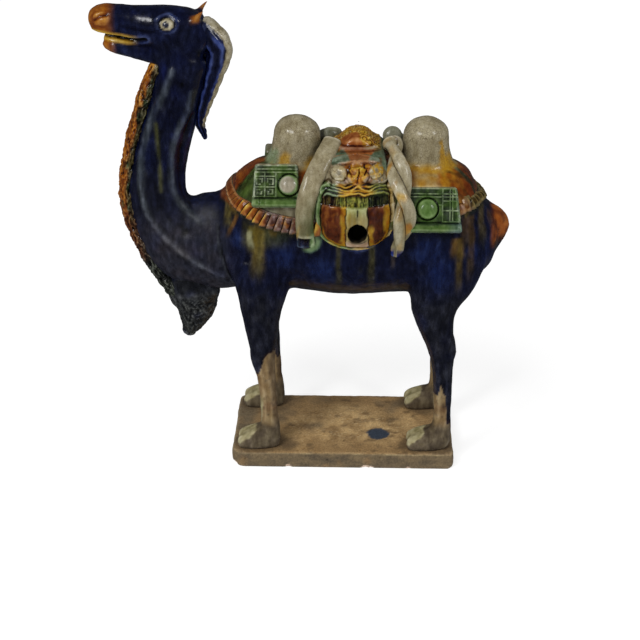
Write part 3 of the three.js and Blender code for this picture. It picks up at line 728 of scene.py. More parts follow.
def paint_body(p, n):
    x, y, z = p.T
    side = np.abs(y)
    tint = cobalt(p)
    # The glaze is greyer and duller low on the chest and down the legs, and darker where it faces down under the
    # belly: painted shade
    dull_and_shaded = np.clip(ramp(z, 200, 165) + ramp(n[:, 2], -0.3, -0.9), 0, 1)
    tint = mix(tint, mix(INK, GREY_GLAZE, 0.5 + 0.5 * rough(p, 12, 8)), 0.72 * dull_and_shaded)
    tint = mix(tint, GREY_GLAZE, 0.5 * ramp(rough(p * (1, 1, 0.35), 11, 9), 0.45, 1.0) * ramp(z, 430, 300))
    # Grey along the neck's ridges: partly the glaze's bloom, partly painted sheen
    bloom_and_sheen = np.zeros(len(p))
    for line, _, width in NECK_RIDGES[:2]:
        bloom_and_sheen = np.maximum(bloom_and_sheen, ramp(from_line(x, z, line) + 0.6 * noise(p, 4, 34), width * 0.75, width * 0.3))
    bloom_and_sheen = bloom_and_sheen * (0.7 + 0.5 * noise(p * (1, 1, 0.3), 9, 31)) * ramp(side, 4, 9) * ramp(x, -132, -150)
    tint = mix(tint, (52, 58, 60), 0.7 * bloom_and_sheen)
    chest = ramp(x, -104, -128) * ramp(z, 268, 225)
    tint = mix(tint, mix((44, 47, 60), (58, 52, 56), 0.5 + 0.7 * rough(p, 18, 33)), 0.55 * chest)
    crease = from_line(x, z, NECK_CREASE)
    ahead_of = x < np.interp(z, *np.transpose(NECK_CREASE[::-1])[::-1])
    # A pale line on the lip in front of the fold: painted highlight
    tint = mix(tint, (58, 62, 66), 0.5 * ramp(np.abs(crease - 2.4), 1.8, 0.3) * ramp(side, 14, 22) * ahead_of)
    shift = 1.6 * noise(p * (0.3, 0, 1), 16, 12)
    for at, height, reach in BLUE_PATCHES:
        near = ramp(np.hypot(x - at, (z - height) * 0.8) + 5 * noise(p, 14, 36), reach, reach * 0.2)
        tint = mix(tint, (20, 38, 84), 0.5 * near * ramp(side, 20, 32))
    edge = cloth_edge(np.clip(x, -118, 139))
    for at, top, length, width, lean, strength, colour in FLANK_RUNS:
        run = drip(x + shift, z, at, top, length, width, lean) * ramp(side, 12, 20)
        faded = mix(colour, mix(OLIVE, COBALT, 0.5), 0.75 * ramp(top - z, 0.2 * length, length))
        tint = mix(tint, faded, strength * run * (1 - 0.4 * ramp(noise(p, 5, 13), 0, 0.8)))
    below = edge - z
    wide = ramp(np.abs(x + 88), 40, 30) + ramp(np.abs(x - 128), 22, 14)
    fine = runs(x, z, edge + 2, 15, 21, 4.5) * ramp(side, 14, 24)
    tint = mix(tint, mix(STRAW, OLIVE, ramp(below, 0, 12)), 0.6 * wide * fine)
    hem = ramp(below, 7, 1) * ramp(below, -8, -2) * ramp(side, 8, 20) * (wide > 0)
    tint = mix(tint, mix(OLIVE, DEEP_GREEN, 0.5 + 0.6 * noise(p, 9, 14)), 0.55 * hem)
    end_x, _, end_z = PLAIN_SKEIN[-1][:3]
    from_end = np.hypot(x - end_x - 3, z - end_z - 1) + 0.8 * noise(p, 6, 37)
    pale = ramp(from_end, 13.5, 10.5) * ramp(from_end, 5, 7) * (y < 0)
    pale = pale * ramp(x - end_x, -6, 2) * ramp(z - end_z, 12, 7)
    tint = mix(tint, mix((124, 150, 104), (84, 112, 96), ramp(from_end, 9, 13)), 0.85 * pale)
    collar = ramp(x, -108, -114) * ramp(x, -129, -125) * ramp(z - edge, -4, 0) * ramp(z, 258, 264)
    tint = mix(tint, (112, 62, 26), 0.95 * collar)
    # The tail's knob
    knob = ramp(x, 146, 153) * ramp(z, 220, 232) * ramp(z + 0.6 * (x - 150), 276, 262)
    tint = mix(tint, mix((150, 84, 26), (92, 46, 20), ramp(noise(p, 9, 15), -0.4, 0.5)), 0.9 * knob)
    tint = mix(tint, UMBER, 0.8 * ramp(x, 146, 154) * ridge(z, 226, 16))
    # A yellow-green run down each side of the neck, and cream left bare at the root of the nape
    streak = ramp(from_line(x, z, [(-188, 349), (-187, 322), (-186, 299), (-186, 278)]), 3.4, 0.5)
    tint = mix(tint, (74, 74, 28), 0.6 * streak * ramp(side, 5, 10) * ramp(noise(p * (1, 1, 0.4), 9, 35), -0.9, 0.1))
    # The face: amber muzzle, lips and brows, cream eyes with dark pupils
    face = ramp(z, 398, 410) * ramp(x, -138, -146)
    tint = mix(tint, mix(AMBER, RUST, 0.5 + 0.5 * noise(p, 8, 16)), face * ramp(x, -222, -234))
    mouth = from_line(x, z, MOUTH)
    tint = mix(tint, YELLOW, 0.7 * face * ramp(mouth, 6, 4) * ramp(x, -200, -215))
    tint = mix(tint, INK, 0.8 * face * ramp(mouth, 2, 1))
    ex, _, ez, er = EYE
    tint = mix(tint, CREAM, face * ramp(side, 12, 16) * ramp(dome(x, z, ex, ez, er * 1.15, er * 0.85), 0, 0.3))
    tint = mix(tint, INK, face * ramp(side, 12, 16) * ramp(dome(x, z, ex - 1, ez, er * 0.5, er * 0.6), 0, 0.4))
    tint = mix(tint, AMBER, 0.8 * ramp(x, -152, -146) * ramp(z, 448, 453) * ramp(side, 12, 16))
    # The bare lower legs: pale slip under the glaze's edge, earthy at the feet
    over = z - leg_glaze_end(p)
    bare = ramp(over, 0.8, -0.8) * ((x < -45) | (x > 50)) * (x > -150) * ramp(z, 128, 124)
    clay = mix((136, 116, 80), (118, 92, 56), 0.35 + 0.6 * rough(p * (1, 1, 0.5), 13, 18))
    # Darker where the legs face the tail, away from the key light: painted shade; also random darker patches.
    clay = mix(clay, (96, 78, 54), 0.8 * ramp(n[:, 0], -0.1, 0.7) + 0.4 * ramp(rough(p, 9, 19), 0.1, 0.8))
    clay = mix(clay, (96, 66, 36), 0.6 * ramp(np.hypot(y + 54, z - 50) + 4 * noise(p, 5, 26), 9, 3))
    clay = mix(clay, SOIL, 0.6 * ramp(rough(p, 5, 20), 0.35, 0.9))
    # Umber streaks down the far legs, which also darken them as painted shade.
    clay = mix(clay, UMBER, 0.8 * ramp(noise(p * (1, 1, 0.1), 4, 24), 0.0, 0.6) * (y > 0) * ramp(z, 20, 50))
    # Each foot: a pale toe with pale slip run down to it, over a grey-brown block
    ahead = np.where(x < 0, FRONT_HEEL_X, REAR_HEEL_X) - x
    from_pale = z - np.interp(ahead, *PALE_TOE) + 1.5 * noise(p, 5, 27)
    block = mix((100, 88, 66), (78, 66, 50), 0.5 + 0.8 * rough(p, 9, 28))
    clay = mix(clay, block, ramp(z + 3 * noise(p, 8, 29), 36, 22))
    toe = mix((156, 146, 110), (128, 120, 84), 0.4 + 0.8 * rough(p, 6, 30))
    clay = mix(clay, toe, ramp(from_pale, -0.8, 0.8) * ramp(z, 66, 48))
    clay = mix(clay, SOIL, 0.7 * ramp(z, 4, 1))
    tint = mix(tint, UMBER, 0.6 * ramp(over, 5, 0) * ramp(noise(p, 8, 25), -0.5, 0.3) * ramp(z, 140, 120))
    # The neck's root is worn to a duller gloss
    worn = 0.42 * ramp(x, -112, -124) * ramp(z, 310, 275) * ramp(z, 165, 190)
    return paint(mix(tint, clay, bare), np.maximum(bare, worn))


def behind_vent(points):
    """Points of the near flank behind the bag's vent, set back past the vent's end."""
    from_middle = np.hypot(points[:, 0] - VENT_X, points[:, 2] - VENT_Z)
    near = points[:, 1] < BAG_Y / 2
    back = np.maximum(points[:, 1], BAG_Y / 2 - 4)
    share = ramp(from_middle, 2 * VENT_RADIUS, 1.45 * VENT_RADIUS) * near
    return np.column_stack([points[:, 0], points[:, 1] + (back - points[:, 1]) * share, points[:, 2]])


def filled_corner(points, faces, edges):
    """The body with the corner between the neck's back and the withers filled in to a round hollow."""
    for rounds in (60, 40, 20):
        x, _, z = points.T
        here = ramp(x, -168, -150) * ramp(x, -92, -106) * ramp(z, 212, 228) * ramp(z, 318, 300)
        out = normals(points, faces)
        gain = ((relaxed(points, edges, rounds, 0.6) - points) * out).sum(1)
        points = points + out * (here * np.clip(gain, 0, 6))[:, None]
    return relaxed(points, edges, 3, 0.5)


def camel_body():
    points, faces, edges = fused(body_parts(), BODY_VOXEL, BODY_ROUNDS, 0.6)
    points = filled_corner(points, faces, edges)
    out = normals(points, faces)
    points = points + out * carve_body(points, out)[:, None]
    points = relaxed(points, edges, 1, 0.4)
    points[:, 2] = np.maximum(points[:, 2], FOOT_CLEARANCE)
    points = behind_vent(points)
    dress("body", points, faces.tolist(), paint_body(points, normals(points, faces)), GLAZE)


# The saddle cloth with the two humps, which rise through it. Glaze has run down each hump: the way it faces, in
# radians, its top, half width in radians and colour
HUMP_RUNS = [
    [(-2.75, 323, 0.5, PALE_GREEN), (-2.05, 321, 0.28, YELLOW), (-0.7, 317, 0.5, YELLOW), (2.4, 320, 0.6, GREEN),
     (0.9, 319, 0.5, YELLOW)],
    [(-0.82, 334, 0.16, YELLOW), (-0.5, 320, 0.34, YELLOW), (-1.7, 311, 0.9, YELLOW), (0.6, 318, 0.5, GREEN),
     (2.2, 316, 0.8, YELLOW)],
]


def paint_saddle(p, n):
    x, y, z = p.T
    side = np.abs(y)
    patch = rough(p, 17, 41)
    streak = noise(p * (1, 1, 0.2), 6, 42)
    # Ahead of the front hump: rust along the ridge and dark green down to the frill
    tint = mix(mix(RUST, AMBER, 0.35 + 0.5 * patch + 0.3 * streak), UMBER, 0.25 * ramp(streak, 0, 0.8))
    green = mix((38, 46, 26), (74, 92, 40), 0.45 + 0.7 * noise(p, 9, 43))
    green = mix(green, (58, 60, 28), 0.5 * ramp(patch, 0, 0.8))
    band = np.interp(x, [-116, -98, -84, -70], [30, 19, 7, 4]) + 2 * noise(p, 8, 48)
    tint = mix(tint, green, ramp(side, band - 2, band + 3) * ramp(x, -62, -78))
    tint = mix(tint, UMBER, 0.6 * ramp(np.abs(side - band), 2.5, 0.5) * ramp(x, -70, -84))
    # Behind the rear hump: an amber sweep from the hump, rust further back, and a green streak beside the ridge
    back = ramp(x, 62, 74)
    amber = mix(mix(AMBER, YELLOW, 0.35 + 0.6 * streak), RUST, ramp(x + 6 * patch, 98, 126))
    amber = mix(amber, (60, 46, 18), 0.6 * ramp(noise(p * (0.5, 1, 0.3), 5, 50), 0.0, 0.6))
    tint = mix(tint, amber, back)
    veil = ramp(x + 5 * patch, 100, 88) * ramp(z, 286, 292) * back
    tint = mix(tint, mix((150, 132, 88), (156, 118, 48), 0.45 + 0.7 * streak), 0.85 * veil)
    line = np.interp(x, [96, 107, 119, 139], [5, 10, 18, 24]) + 1.5 * noise(p, 7, 49)
    green_line = ramp(np.abs(side - line), 5, 1.5) * ramp(x, 94, 103)
    tint = mix(tint, mix((112, 118, 84), DEEP_GREEN, ramp(x, 104, 118)), 0.85 * green_line)
    # Between the humps, round the load
    tint = mix(tint, green, ramp(np.abs(x - 14), 52, 42) * ramp(side, 8, 16) * 0.9)
    # A cream ledge between the boards and the frill
    ledge = ramp(z - cloth_edge(x), 30, 24) * ramp(side, 36, 43)
    pale = mix((134, 130, 108), (92, 88, 72), 0.5 + 0.6 * patch + 0.4 * noise(p, 5, 53))
    tint = mix(tint, pale, 0.9 * ledge * ramp(x, -84, -74) * ramp(x, 60, -20))
    # The humps: cream, with amber, yellow and green run down to their feet
    crackle = np.zeros(len(p))
    for k, middle in enumerate((-49, 81)):
        around = np.hypot((x - middle) / 27.5, y / 25.0)
        hump = ramp(around, 1.25, 1.08) * ramp(z, 296, 306)
        turn = np.arctan2(y, x - middle)
        cream = mix(CREAM, CREAM_SHADE, 0.5 + 0.6 * rough(p, 15, 47))
        wash = ramp(z + 4 * noise(p, 7, 44 + k), 316, 300)
        glazed = mix(cream, mix((150, 120, 58), YELLOW, 0.4 + 0.6 * streak), 0.6 * wash)
        for at, top, half, colour in HUMP_RUNS[k]:
            away = np.abs((turn - at + math.pi) % (2 * math.pi) - math.pi)
            spread = half * (1 + np.clip(top - z, 0, 40) / 26)
            run = ramp(away + 0.12 * noise(p, 5, 46), spread, spread * 0.35) * ramp(z + 1.5 * streak, top + 3, top - 5)
            glazed = mix(glazed, mix(colour, YELLOW, 0.25 * ramp(streak, 0, 0.7)), 0.85 * run)
        tint = mix(tint, glazed, hump)
        crackle = np.maximum(crackle, hump * ramp(z, 300, 318))
    return paint(tint, 0, crackle)


def board_axes(way):
    """The ways up and out of a mat board on a flank."""
    tilt = math.radians(BOARD_LEAN)
    return np.array([0, -way * math.sin(tilt), math.cos(tilt)]), np.array([0, way * math.cos(tilt), math.sin(tilt)])


def board_half(t, tall, foot, top):
    """Half the length of a mat board at t up from its foot."""
    return (foot + (top - foot) * np.clip(t / tall, 0, 1)) / 2


def behind_boards(points):
    """Points of the cloth and the humps that would come through a mat board, set back to its middle."""
    points = points.copy()
    for x0, y0, z0, tall, foot, top, _ in BOARDS.values():
        up, out = board_axes(FAR if y0 > 0 else NEAR)
        away = points - (x0, y0, z0)
        t, ahead = away @ up, away @ out
        half = board_half(t, tall, foot, top)
        inside = ramp(half - np.abs(away[:, 0]), 0.5, 3) * ramp(t, 0, 2) * ramp(t, tall - 0.5, tall - 3)
        points -= np.clip((ahead + 0.5) * inside * (ahead < 14), 0, None)[:, None] * out
    return points


def saddle():
    x, v = np.meshgrid(np.linspace(*CLOTH_ENDS, 140), np.linspace(0, 1, 110), indexing="ij")
    low = angle_at(x, cloth_edge(x) + FRILL_WIDTH * 0.5)
    angle = low + (math.pi - 2 * low) * v
    crease = 0.8 * np.sin(angle * 9 + x / 14) * np.exp(-((np.minimum(v, 1 - v) - 0.2) / 0.16) ** 2)
    thin = CLOTH_THICKNESS * (1 - 0.75 * ramp(-x, 84, 106))
    cloth = slab(on_trunk(x, angle, thin + crease * ramp(-x, 106, 84)), on_trunk(x, angle, -9))
    humps = [rounded(middle_rows(hump), 64, 8, ends=(4, HUMP_DOME), cap=10) for hump in HUMPS]
    points, faces, _ = fused([cloth, *humps], SADDLE_VOXEL, SADDLE_ROUNDS, 0.6)
    out = normals(points, faces)
    hump = ramp(points[:, 2], 312, 326)
    points = points + out * (0.3 * rough(points, 13, 51) + 0.5 * hump * noise(points, 26, 52))[:, None]
    points = behind_boards(behind_vent(points))
    dress("saddle_cloth_and_humps", points, faces.tolist(), paint_saddle(points, out), GLAZE)


# The pleated frill along the cloth's edge: up one flank, over the ridge and down the other
def frill_line(start, end, over):
    """Even places along a frill's line: x and the angle on the trunk's skin, and the line's length."""
    x = np.linspace(start, end, 7)
    near = np.column_stack([x, angle_at(x, cloth_edge(x)) * SKIN_REACH])
    far = near[::-1] * (1, -1) + (0, math.pi * SKIN_REACH)
    line = curve(np.vstack([near, [(over, math.pi / 2 * SKIN_REACH)], far]), np.linspace(0, 1, 800))
    reach = np.concatenate([[0], np.cumsum(np.linalg.norm(np.diff(line, axis=0), axis=1))])
    return line, reach


def frill(name, span):
    line, reach = frill_line(*span)
    forward = span[0] < 0
    pleats = round(reach[-1] / PLEAT_PITCH)
    per_pleat, rows = PLEAT_MESH
    u = np.linspace(0, 1, pleats * per_pleat + 1)
    x, angle = (np.interp(u * reach[-1], reach, line[:, k]) for k in (0, 1))
    skin = skin_at(x, angle / SKIN_REACH)
    edge = np.column_stack([x, skin[:, :2]])
    inward = unit(np.cross(np.gradient(edge, axis=0), skin[:, 2:]) * np.sign(span[0] - span[1]))
    u, v = np.meshgrid(u, np.linspace(0, 1, rows), indexing="ij")
    way = np.where(u < 0.5, 1, -1)
    pleat = u * pleats + 0.3 * v * way
    f = np.where(way > 0, pleat % 1, 1 - pleat % 1)
    fold = f**1.3 * ramp(f, 1.0, 0.9)
    sunk = ramp(np.minimum(f, 1 - f), 0.09, 0.0)
    tuck = ramp(v, 0.96, 0.84)
    # The front frill fades towards the ridge, and the rear one is narrower and flatter all along
    fading = ramp(np.abs(x[:, None] + 0 * v), 99, 114) if forward else 0.45
    narrower, flatter = (0, 0.86) if forward else (4, 0.72)
    width = FRILL_WIDTH - FRILL_NARROWING * np.sin(math.pi * u) ** 4 - narrower * fading
    hem = 0.9 * (f - 0.4) * ramp(v, 0.35, 0)
    places = edge[:, None] + inward[:, None] * (width * v - hem)[..., None]
    rise = FRILL_THICKNESS * (0.62 + 0.34 * np.sin(math.pi * np.clip(v + 0.06, 0, 1)))
    rise = rise + tuck * (1.25 * PLEAT_RISE * fold - 1.7 * sunk)
    rise = rise + 0.8 * ridge(v, 0.94, 0.1) - 0.9 * ridge(v, 0.86, 0.07)
    rise = rise * (1 - flatter * fading)
    angle = angle_towards(places)
    points, faces = outward(*slab(on_trunk(places[..., 0], angle, rise), on_trunk(places[..., 0], angle, -6)))
    on_both = [np.tile(a.ravel(), 2) for a in (np.floor(pleat), fold * tuck, sunk * tuck, v)]
    dress(name, points, faces, paint(frill_tint(points, *on_both, forward)), GLAZE)


def frill_tint(points, which, fold, sunk, v, forward):
    patch = noise(points, 9, 61)
    mood = noise(np.stack([which * 7.7, 0 * which, 0 * which], 1), 5, 62)
    tint = mix((128, 66, 12), RUST, 0.4 + 0.6 * mood + 0.5 * patch)
    # Yellow on the pleats' crests is partly thin glaze and partly painted highlight; umber at their low feet is
    # painted shade.
    tint = mix(tint, (176, 126, 22), 0.75 * ramp(fold + 0.4 * patch, 0.5, 0.95))
    tint = mix(tint, UMBER, 0.6 * ramp(fold, 0.3, 0.0))
    x, y, _ = points.T
    fine = rough(points, 4, 65)
    if forward:
        # Rust where the pleats fade, and plum with amber in it ahead of the front board
        tint = mix(tint, mix(RUST, (120, 78, 40), 0.5 + 0.8 * patch), ramp(-x, 102, 114))
        plum = mix((58, 40, 38), (98, 84, 82), ramp(fine + 0.4 * patch, -0.1, 0.8))
        plum = mix(plum, AMBER, 0.7 * ramp(noise(points, 7, 66), 0.3, 0.7))
        tint = mix(tint, plum, 0.85 * ramp(x + 6 * mood, -84, -76) * ramp(x, -44, -52))
    else:
        # Brown and dull, and greener near the ridge
        back = mix(mix(RUST, (124, 84, 36), 0.5 + 0.8 * fine), (96, 72, 62), ramp(noise(points, 9, 67), 0, 0.6))
        back = mix(back, DEEP_GREEN, 0.6 * ramp(noise(points, 12, 68), 0.1, 0.5))
        back = mix((74, 50, 24), back, 0.72)
        back = mix(back, mix((40, 44, 22), (70, 60, 26), 0.5 + fine), 0.9 * ramp(np.abs(y), 44, 34))
        tint = mix(tint, back, 0.95)
    # Umber in the pleats' grooves and in the groove near the upper edge is painted shade, as is the dark band along
    # the lower hem; a dark line also runs along the upper edge.
    shade_and_line_strength = 0.95 if forward else 0.5
    tint = mix(tint, UMBER, shade_and_line_strength * np.maximum(sunk, 0.7 * ramp(np.abs(v - 0.86), 0.05, 0.01)))
    return mix(tint, (30, 26, 16), shade_and_line_strength * np.maximum(ramp(v, 0.12, 0.02), ramp(v, 0.92, 0.97)))


def frills():
    frill("frill_front", FRONT_FRILL)
    frill("frill_rear", REAR_FRILL)


# The saddlebags with their monster masks, which fill what shows between the skeins
BROW = [(-12, 316), (-5, 319.5), (5, 321.5), (14, 322), (28, 321), (36, 317.5), (42, 310)]
WRINKLE = [(-15, 302), (-9, 300.2), (0, 299), (5, 300), (9, 301.5), (14, 300.4), (20, 299.8), (27, 299.8), (42, 303)]
UPPER_LIP = [
    (-24, 293), (-21, 297), (-15, 299), (-8, 297.5), (-1, 296), (7, 296.8), (12, 299.5), (17, 297.8), (23, 296),
    (30, 298), (38, 299.5), (46, 296),
]
LOWER_LIP = [
    (-21, 288), (-16, 292.2), (-8.5, 291), (1, 292), (7, 293.3), (14.5, 293.7), (20, 292.3), (36, 293.8), (45, 289),
]
MIDDLE_LIP = [
    (-23, 290.5), (-18, 295.2), (-12, 295.4), (-5, 294), (3, 294.2), (10, 296), (14, 296.6), (20, 295), (28, 295.2),
    (38, 296.8), (46, 292.5),
]
RIM = [
    (-16, 301), (-21.5, 296), (-25, 288), (-26.4, 279), (-27, 268), (-26.2, 257), (-24, 248), (-19, 241), (-10, 235.5),
    (0, 232.5), (12, 231.5), (24, 232), (34, 234.5), (41.5, 240.5), (46, 248.5), (48.2, 258), (48.6, 268), (48.4, 280),
    (47, 290), (44.5, 299),
]
EYES = ((-6, 311, 8, 6.8), (30.5, 312, 7, 6.2))
STRIP = (1.5, 22)


def from_gap(x):
    """Distance from the middle of the nearest tooth, for teeth of uneven width."""
    return np.abs((x + 1.1 * np.sin(0.71 * x) + 0.5 * np.sin(1.9 * x + 1)) % 3.6 - 1.8)


def lip_line(x, z, line):
    return ramp(from_line(x, z, line), 1.4, 0.25)


def by_hand(x, z):
    """Places on the mask moved a little, so that its lines waver as hand-cut ones do."""
    flat = np.stack([x, 0 * x, z], 1)
    moved_x = x + 1.0 * noise(flat, 8, 161) + 0.35 * noise(flat, 3, 163)
    return moved_x, z + 0.7 * noise(flat, 7, 162) + 0.3 * noise(flat, 3, 164)


def strip_edges(z):
    """The x of the two edges of the mask's tongue at height z."""
    return STRIP[0], STRIP[1] + (281 - z) * 0.05


def above_brow(x, z):
    """1 above the line of the brow, where the forehead's colours are."""
    return ramp(z - np.interp(x, *np.transpose(BROW)), -0.6, 0.8) * ramp(z, 303, 306)


def mask_relief(x, z, plain):
    """How far the mask stands out of the bag's face at x and z."""
    x, z = by_hand(x, z)
    lower = ramp(z, 280, 278.5)
    rise = 1.2 * ramp(from_line(x, z, BROW), 2.2, 0) - 1.6 * above_brow(x, z)
    for ex, ez, rx, rz in EYES:
        around = np.hypot((x - ex) / rx, (z - ez) / rz)
        rise += 2.9 * dome(x, z, ex, ez, rx, rz) - 0.4 * ramp(np.abs(around - 1.12), 0.2, 0)
        rise -= 0.7 * dome(x, z, ex + 0.8, ez + 0.4, 2.8, 2.4)
        rise += 0.8 * ramp(from_line(x, z, [(ex - rx, ez + 4), (ex, ez + rz + 1.6), (ex + rx, ez + 4)]), 1.6, 0.2)
    rise += (4.4 * dome(x, z, 13, 308.5, 10, 8) ** 0.9 + 2.2 * dome(x, z, 12, 316.5, 6, 5)
             + 1.6 * dome(x, z, 23, 315, 4, 4))
    rise += 2.6 * (dome(x, z, 5, 306.5, 5, 4.5) + dome(x, z, 21, 307, 5, 4.5))
    for line in ([(14, 314), (13.4, 309), (12, 303)], [(21, 313), (18.5, 309.5)], [(5, 312), (7.5, 308.5)]):
        rise -= 2.6 * ramp(from_line(x, z, line), 1.3, 0.2)
    rise += 2.0 * (dome(x, z, -4, 303.5, 8.5, 3.4) + dome(x, z, 31, 304.5, 8.5, 3.4))
    for line, height in ((WRINKLE, 1.5), (UPPER_LIP, 2.2), (MIDDLE_LIP, 1.5), (LOWER_LIP, 2.1)):
        rise += height * lip_line(x, z, line)
    band = ramp(z, 291.5, 289) * ramp(z, 280, 281.5)
    rise -= band * (1.0 + (0 if plain else 0.9) * ramp(from_gap(x), 0.8, 0.1))
    edge = from_line(x, z, RIM)
    inside = ramp(edge, 3.4, 4.6)
    rise += 2.8 * ramp(edge, 2.2, 0.2) - 1.2 * ramp(np.abs(edge - 3.2), 1.2, 0)
    left, right = strip_edges(z)
    strip = ramp(x, left - 0.4, left + 0.8) * ramp(x, right + 0.4, right - 0.8)
    rise += lower * inside * (0.9 * strip - 1.1 * ridge(x, left - 0.2, 1.6) - 1.1 * ridge(x, right + 0.3, 1.6))
    rise -= lower * 1.2 * ridge(x, 12.4, 1.4) * ramp(z, 260, 262)
    return rise


def paint_bag(p, n, way, relief):
    true_x, _, true_z = p.T
    x, z = by_hand(true_x, true_z)
    face = ramp(way * n[:, 1], -0.1, 0.3)
    patch = rough(p, 11, 71 + way)
    streak = noise(p * (1, 1, 0.25), 4, 72 + way)
    blotch = rough(p, 4.5, 79 + way)
    left, right = strip_edges(z)
    outline = from_line(x, z, RIM)
    # The lower panel: brown in each half with amber and yellow at its edges
    tint = mix(RUST, UMBER, 0.4 + 0.5 * patch + 0.25 * ramp(x, 20, 26) + 0.4 * blotch)
    tint = mix(tint, mix(RUST, AMBER, 0.6), 0.8 * dome(x, z, -14, 272, 13, 15) * ramp(streak + blotch, -0.4, 0.6))
    tint = mix(tint, (78, 44, 46), 0.6 * dome(x, z, 30, 274, 12, 10) * ramp(blotch, -0.2, 0.5))
    tint = mix(tint, (70, 34, 20), 0.3)
    golden = mix(AMBER, (152, 118, 20), 0.65 + 0.5 * streak + 0.4 * blotch)
    tint = mix(tint, golden, ramp(x + 1.6 * streak, -5.5, -1.5) * ramp(x, 12, 4))
    tint = mix(tint, golden, ramp(x + streak, 38, 41.5))
    tint = mix(tint, golden, 0.9 * ramp(np.abs(x - 26.5 + streak), 3.4, 1) * ramp(z, 264, 256))
    tint = mix(tint, golden, 0.8 * ramp(outline, 6.5, 4) * ramp(z, 262, 250))
    # The strip: cream with green at its top and pinker clay under the vent
    strip = ramp(x, left - 0.6, left + 0.6) * ramp(x, right + 0.6, right - 0.6)
    pale = mix((146, 136, 96), (132, 112, 48), 0.25 + 0.6 * noise(p * (1, 1, 0.2), 3.5, 73) + 0.4 * ramp(x, 10, 4))
    pale = mix(pale, (112, 124, 66), 0.7 * ramp(z + 4 * streak, 266, 281))
    pale = mix(pale, (160, 136, 112), ramp(z, 246, 240))
    tint = mix(tint, pale, strip)
    tint = mix(tint, (38, 44, 20), 0.9 * strip * ridge(x, 12.4, 2.0) * ramp(z, 259, 262))
    tint = mix(tint, (52, 40, 16), 0.75 * ramp(z, 282, 278) * np.maximum(ridge(x, left, 1.8), ridge(x, right, 1.8)))
    # The rim: pale green on the head's side, cream and yellow on the tail's side, dark beside it
    green = mix((72, 98, 50), (108, 126, 78), 0.3 + 0.5 * patch + 0.4 * ramp(z, 275, 250))
    cream = mix((150, 138, 104), YELLOW, 0.4 + 0.6 * streak)
    rim = mix(green, cream, ramp(x, -2, 16))
    rim = mix(rim, YELLOW, 0.5 * ramp(z, 262, 246) * ramp(streak, -0.5, 0.3))
    tint = mix(tint, (30, 32, 20), 0.85 * ramp(np.abs(outline - 3.3), 1.2, 0.3) * ramp(z, 242, 256))
    tint = mix(tint, rim, ramp(outline, 3.0, 2.0))
    # The band of teeth, dark with light strokes, and the lips: light where they stand out and dark in the hollows,
    # partly their glaze colours and partly painted highlight and painted shade
    centre = ramp(np.abs(x - 8), 19, 11)
    dark = mix(mix((28, 36, 20), UMBER, ramp(x, 4, -10)), INK, 0.35 + 0.3 * patch)
    light = mix((112, 132, 66), (166, 152, 68), 0.45 + 0.6 * noise(p, 6, 75))
    stroke = ramp(from_gap(x), 0.4, 1.3) * (0.3 + 0.7 * centre) * ramp(noise(p * (1, 1, 0.4), 3, 80), -0.6, 0.4)
    teeth = mix(dark, light, 0.55 * centre * ramp(blotch, -0.6, 0.3) + 0.6 * stroke)
    band = ramp(z, 280, 281.2) * ramp(outline, 3, 5)
    tint = mix(tint, teeth, band * ramp(z, 293, 290))
    lips = ramp(z, 288.5, 291) * ramp(z, 304, 301)
    hollow = mix(mix((46, 54, 26), (84, 48, 18), centre * 0.8), INK, 0.25 + 0.5 * blotch)
    warm = mix(mix(YELLOW, AMBER, 0.3 + 0.6 * streak), (138, 82, 48), 0.5 * ramp(patch, 0, 0.6))
    side_green = mix(mix(GREEN, PALE_GREEN, 0.3), (92, 96, 34), ramp(x, 8, 24))
    raised = mix(side_green, warm, ramp(np.abs(x - 11 - 2 * patch), 21, 12))
    tint = mix(tint, mix(hollow, raised, ramp(relief + 0.3 * blotch, 0.0, 1.2)), lips * ramp(outline, 1.5, 3))
    # The face above the lips: cream cheeks and eyes, an amber and yellow nose with dark folds
    upper = ramp(z, 300.5, 303.5)
    skin = mix((140, 130, 104), (110, 100, 78), 0.5 + 0.6 * patch + 0.4 * blotch)
    nose = dome(x, z, 13, 311, 17, 13)
    warm_nose = mix(mix(AMBER, YELLOW, 0.3 + 0.9 * noise(p, 6, 81)), (92, 46, 20), ramp(blotch, 0.0, 0.8))
    warm_nose = mix(warm_nose, YELLOW, 0.8 * dome(x, z, 13, 316.5, 7, 4) * ramp(blotch, 0.4, -0.2))
    skin = mix(skin, warm_nose, ramp(nose + 0.3 * blotch, 0.1, 0.5))
    skin = mix(skin, YELLOW, 0.6 * ramp(x, 22, 28) * ramp(streak + patch + blotch, 0, 0.8))
    skin = mix(skin, (118, 108, 96), 0.7 * np.maximum(dome(x, z, 2.5, 305.7, 5, 4), dome(x, z, 22.7, 305.8, 5, 4)))
    lidded = ramp(from_line(x, z, BROW), 5, 2)
    skin = mix(skin, mix((124, 80, 48), (112, 92, 70), ramp(np.abs(x - 14), 14, 22)), 0.7 * lidded)
    for ex, ez, rx, rz in EYES:
        around = np.hypot((x - ex) / rx, (z - ez) / rz)
        ball = mix((156, 146, 116), YELLOW, (0.75 * (ex > 0) + 0.25) * ramp(blotch + 0.06 * (x - ex), -0.3, 0.6))
        skin = mix(skin, ball, 0.9 * ramp(around, 1.1, 0.85))
        skin = mix(skin, (98, 96, 92), 0.55 * ramp(np.hypot(x - ex - 0.8, z - ez - 0.4) + 1.4 * blotch, 3.2, 0.8))
    skin = mix(skin, (44, 24, 14), 0.7 * ramp(relief, 0.6, -0.8) * ramp(nose, 0.0, 0.2))
    tint = mix(tint, skin, upper)
    half = 8.5 + 1.1 * np.clip(z - 321, -2, 6)
    forehead = mix(GREY_GREEN, DARK_GREY_GREEN, 0.5 + 0.7 * patch)
    forehead = mix(forehead, (130, 80, 44), ramp(np.abs(x - 14.5), half + 1, half - 1))
    tint = mix(tint, forehead, above_brow(x, z))
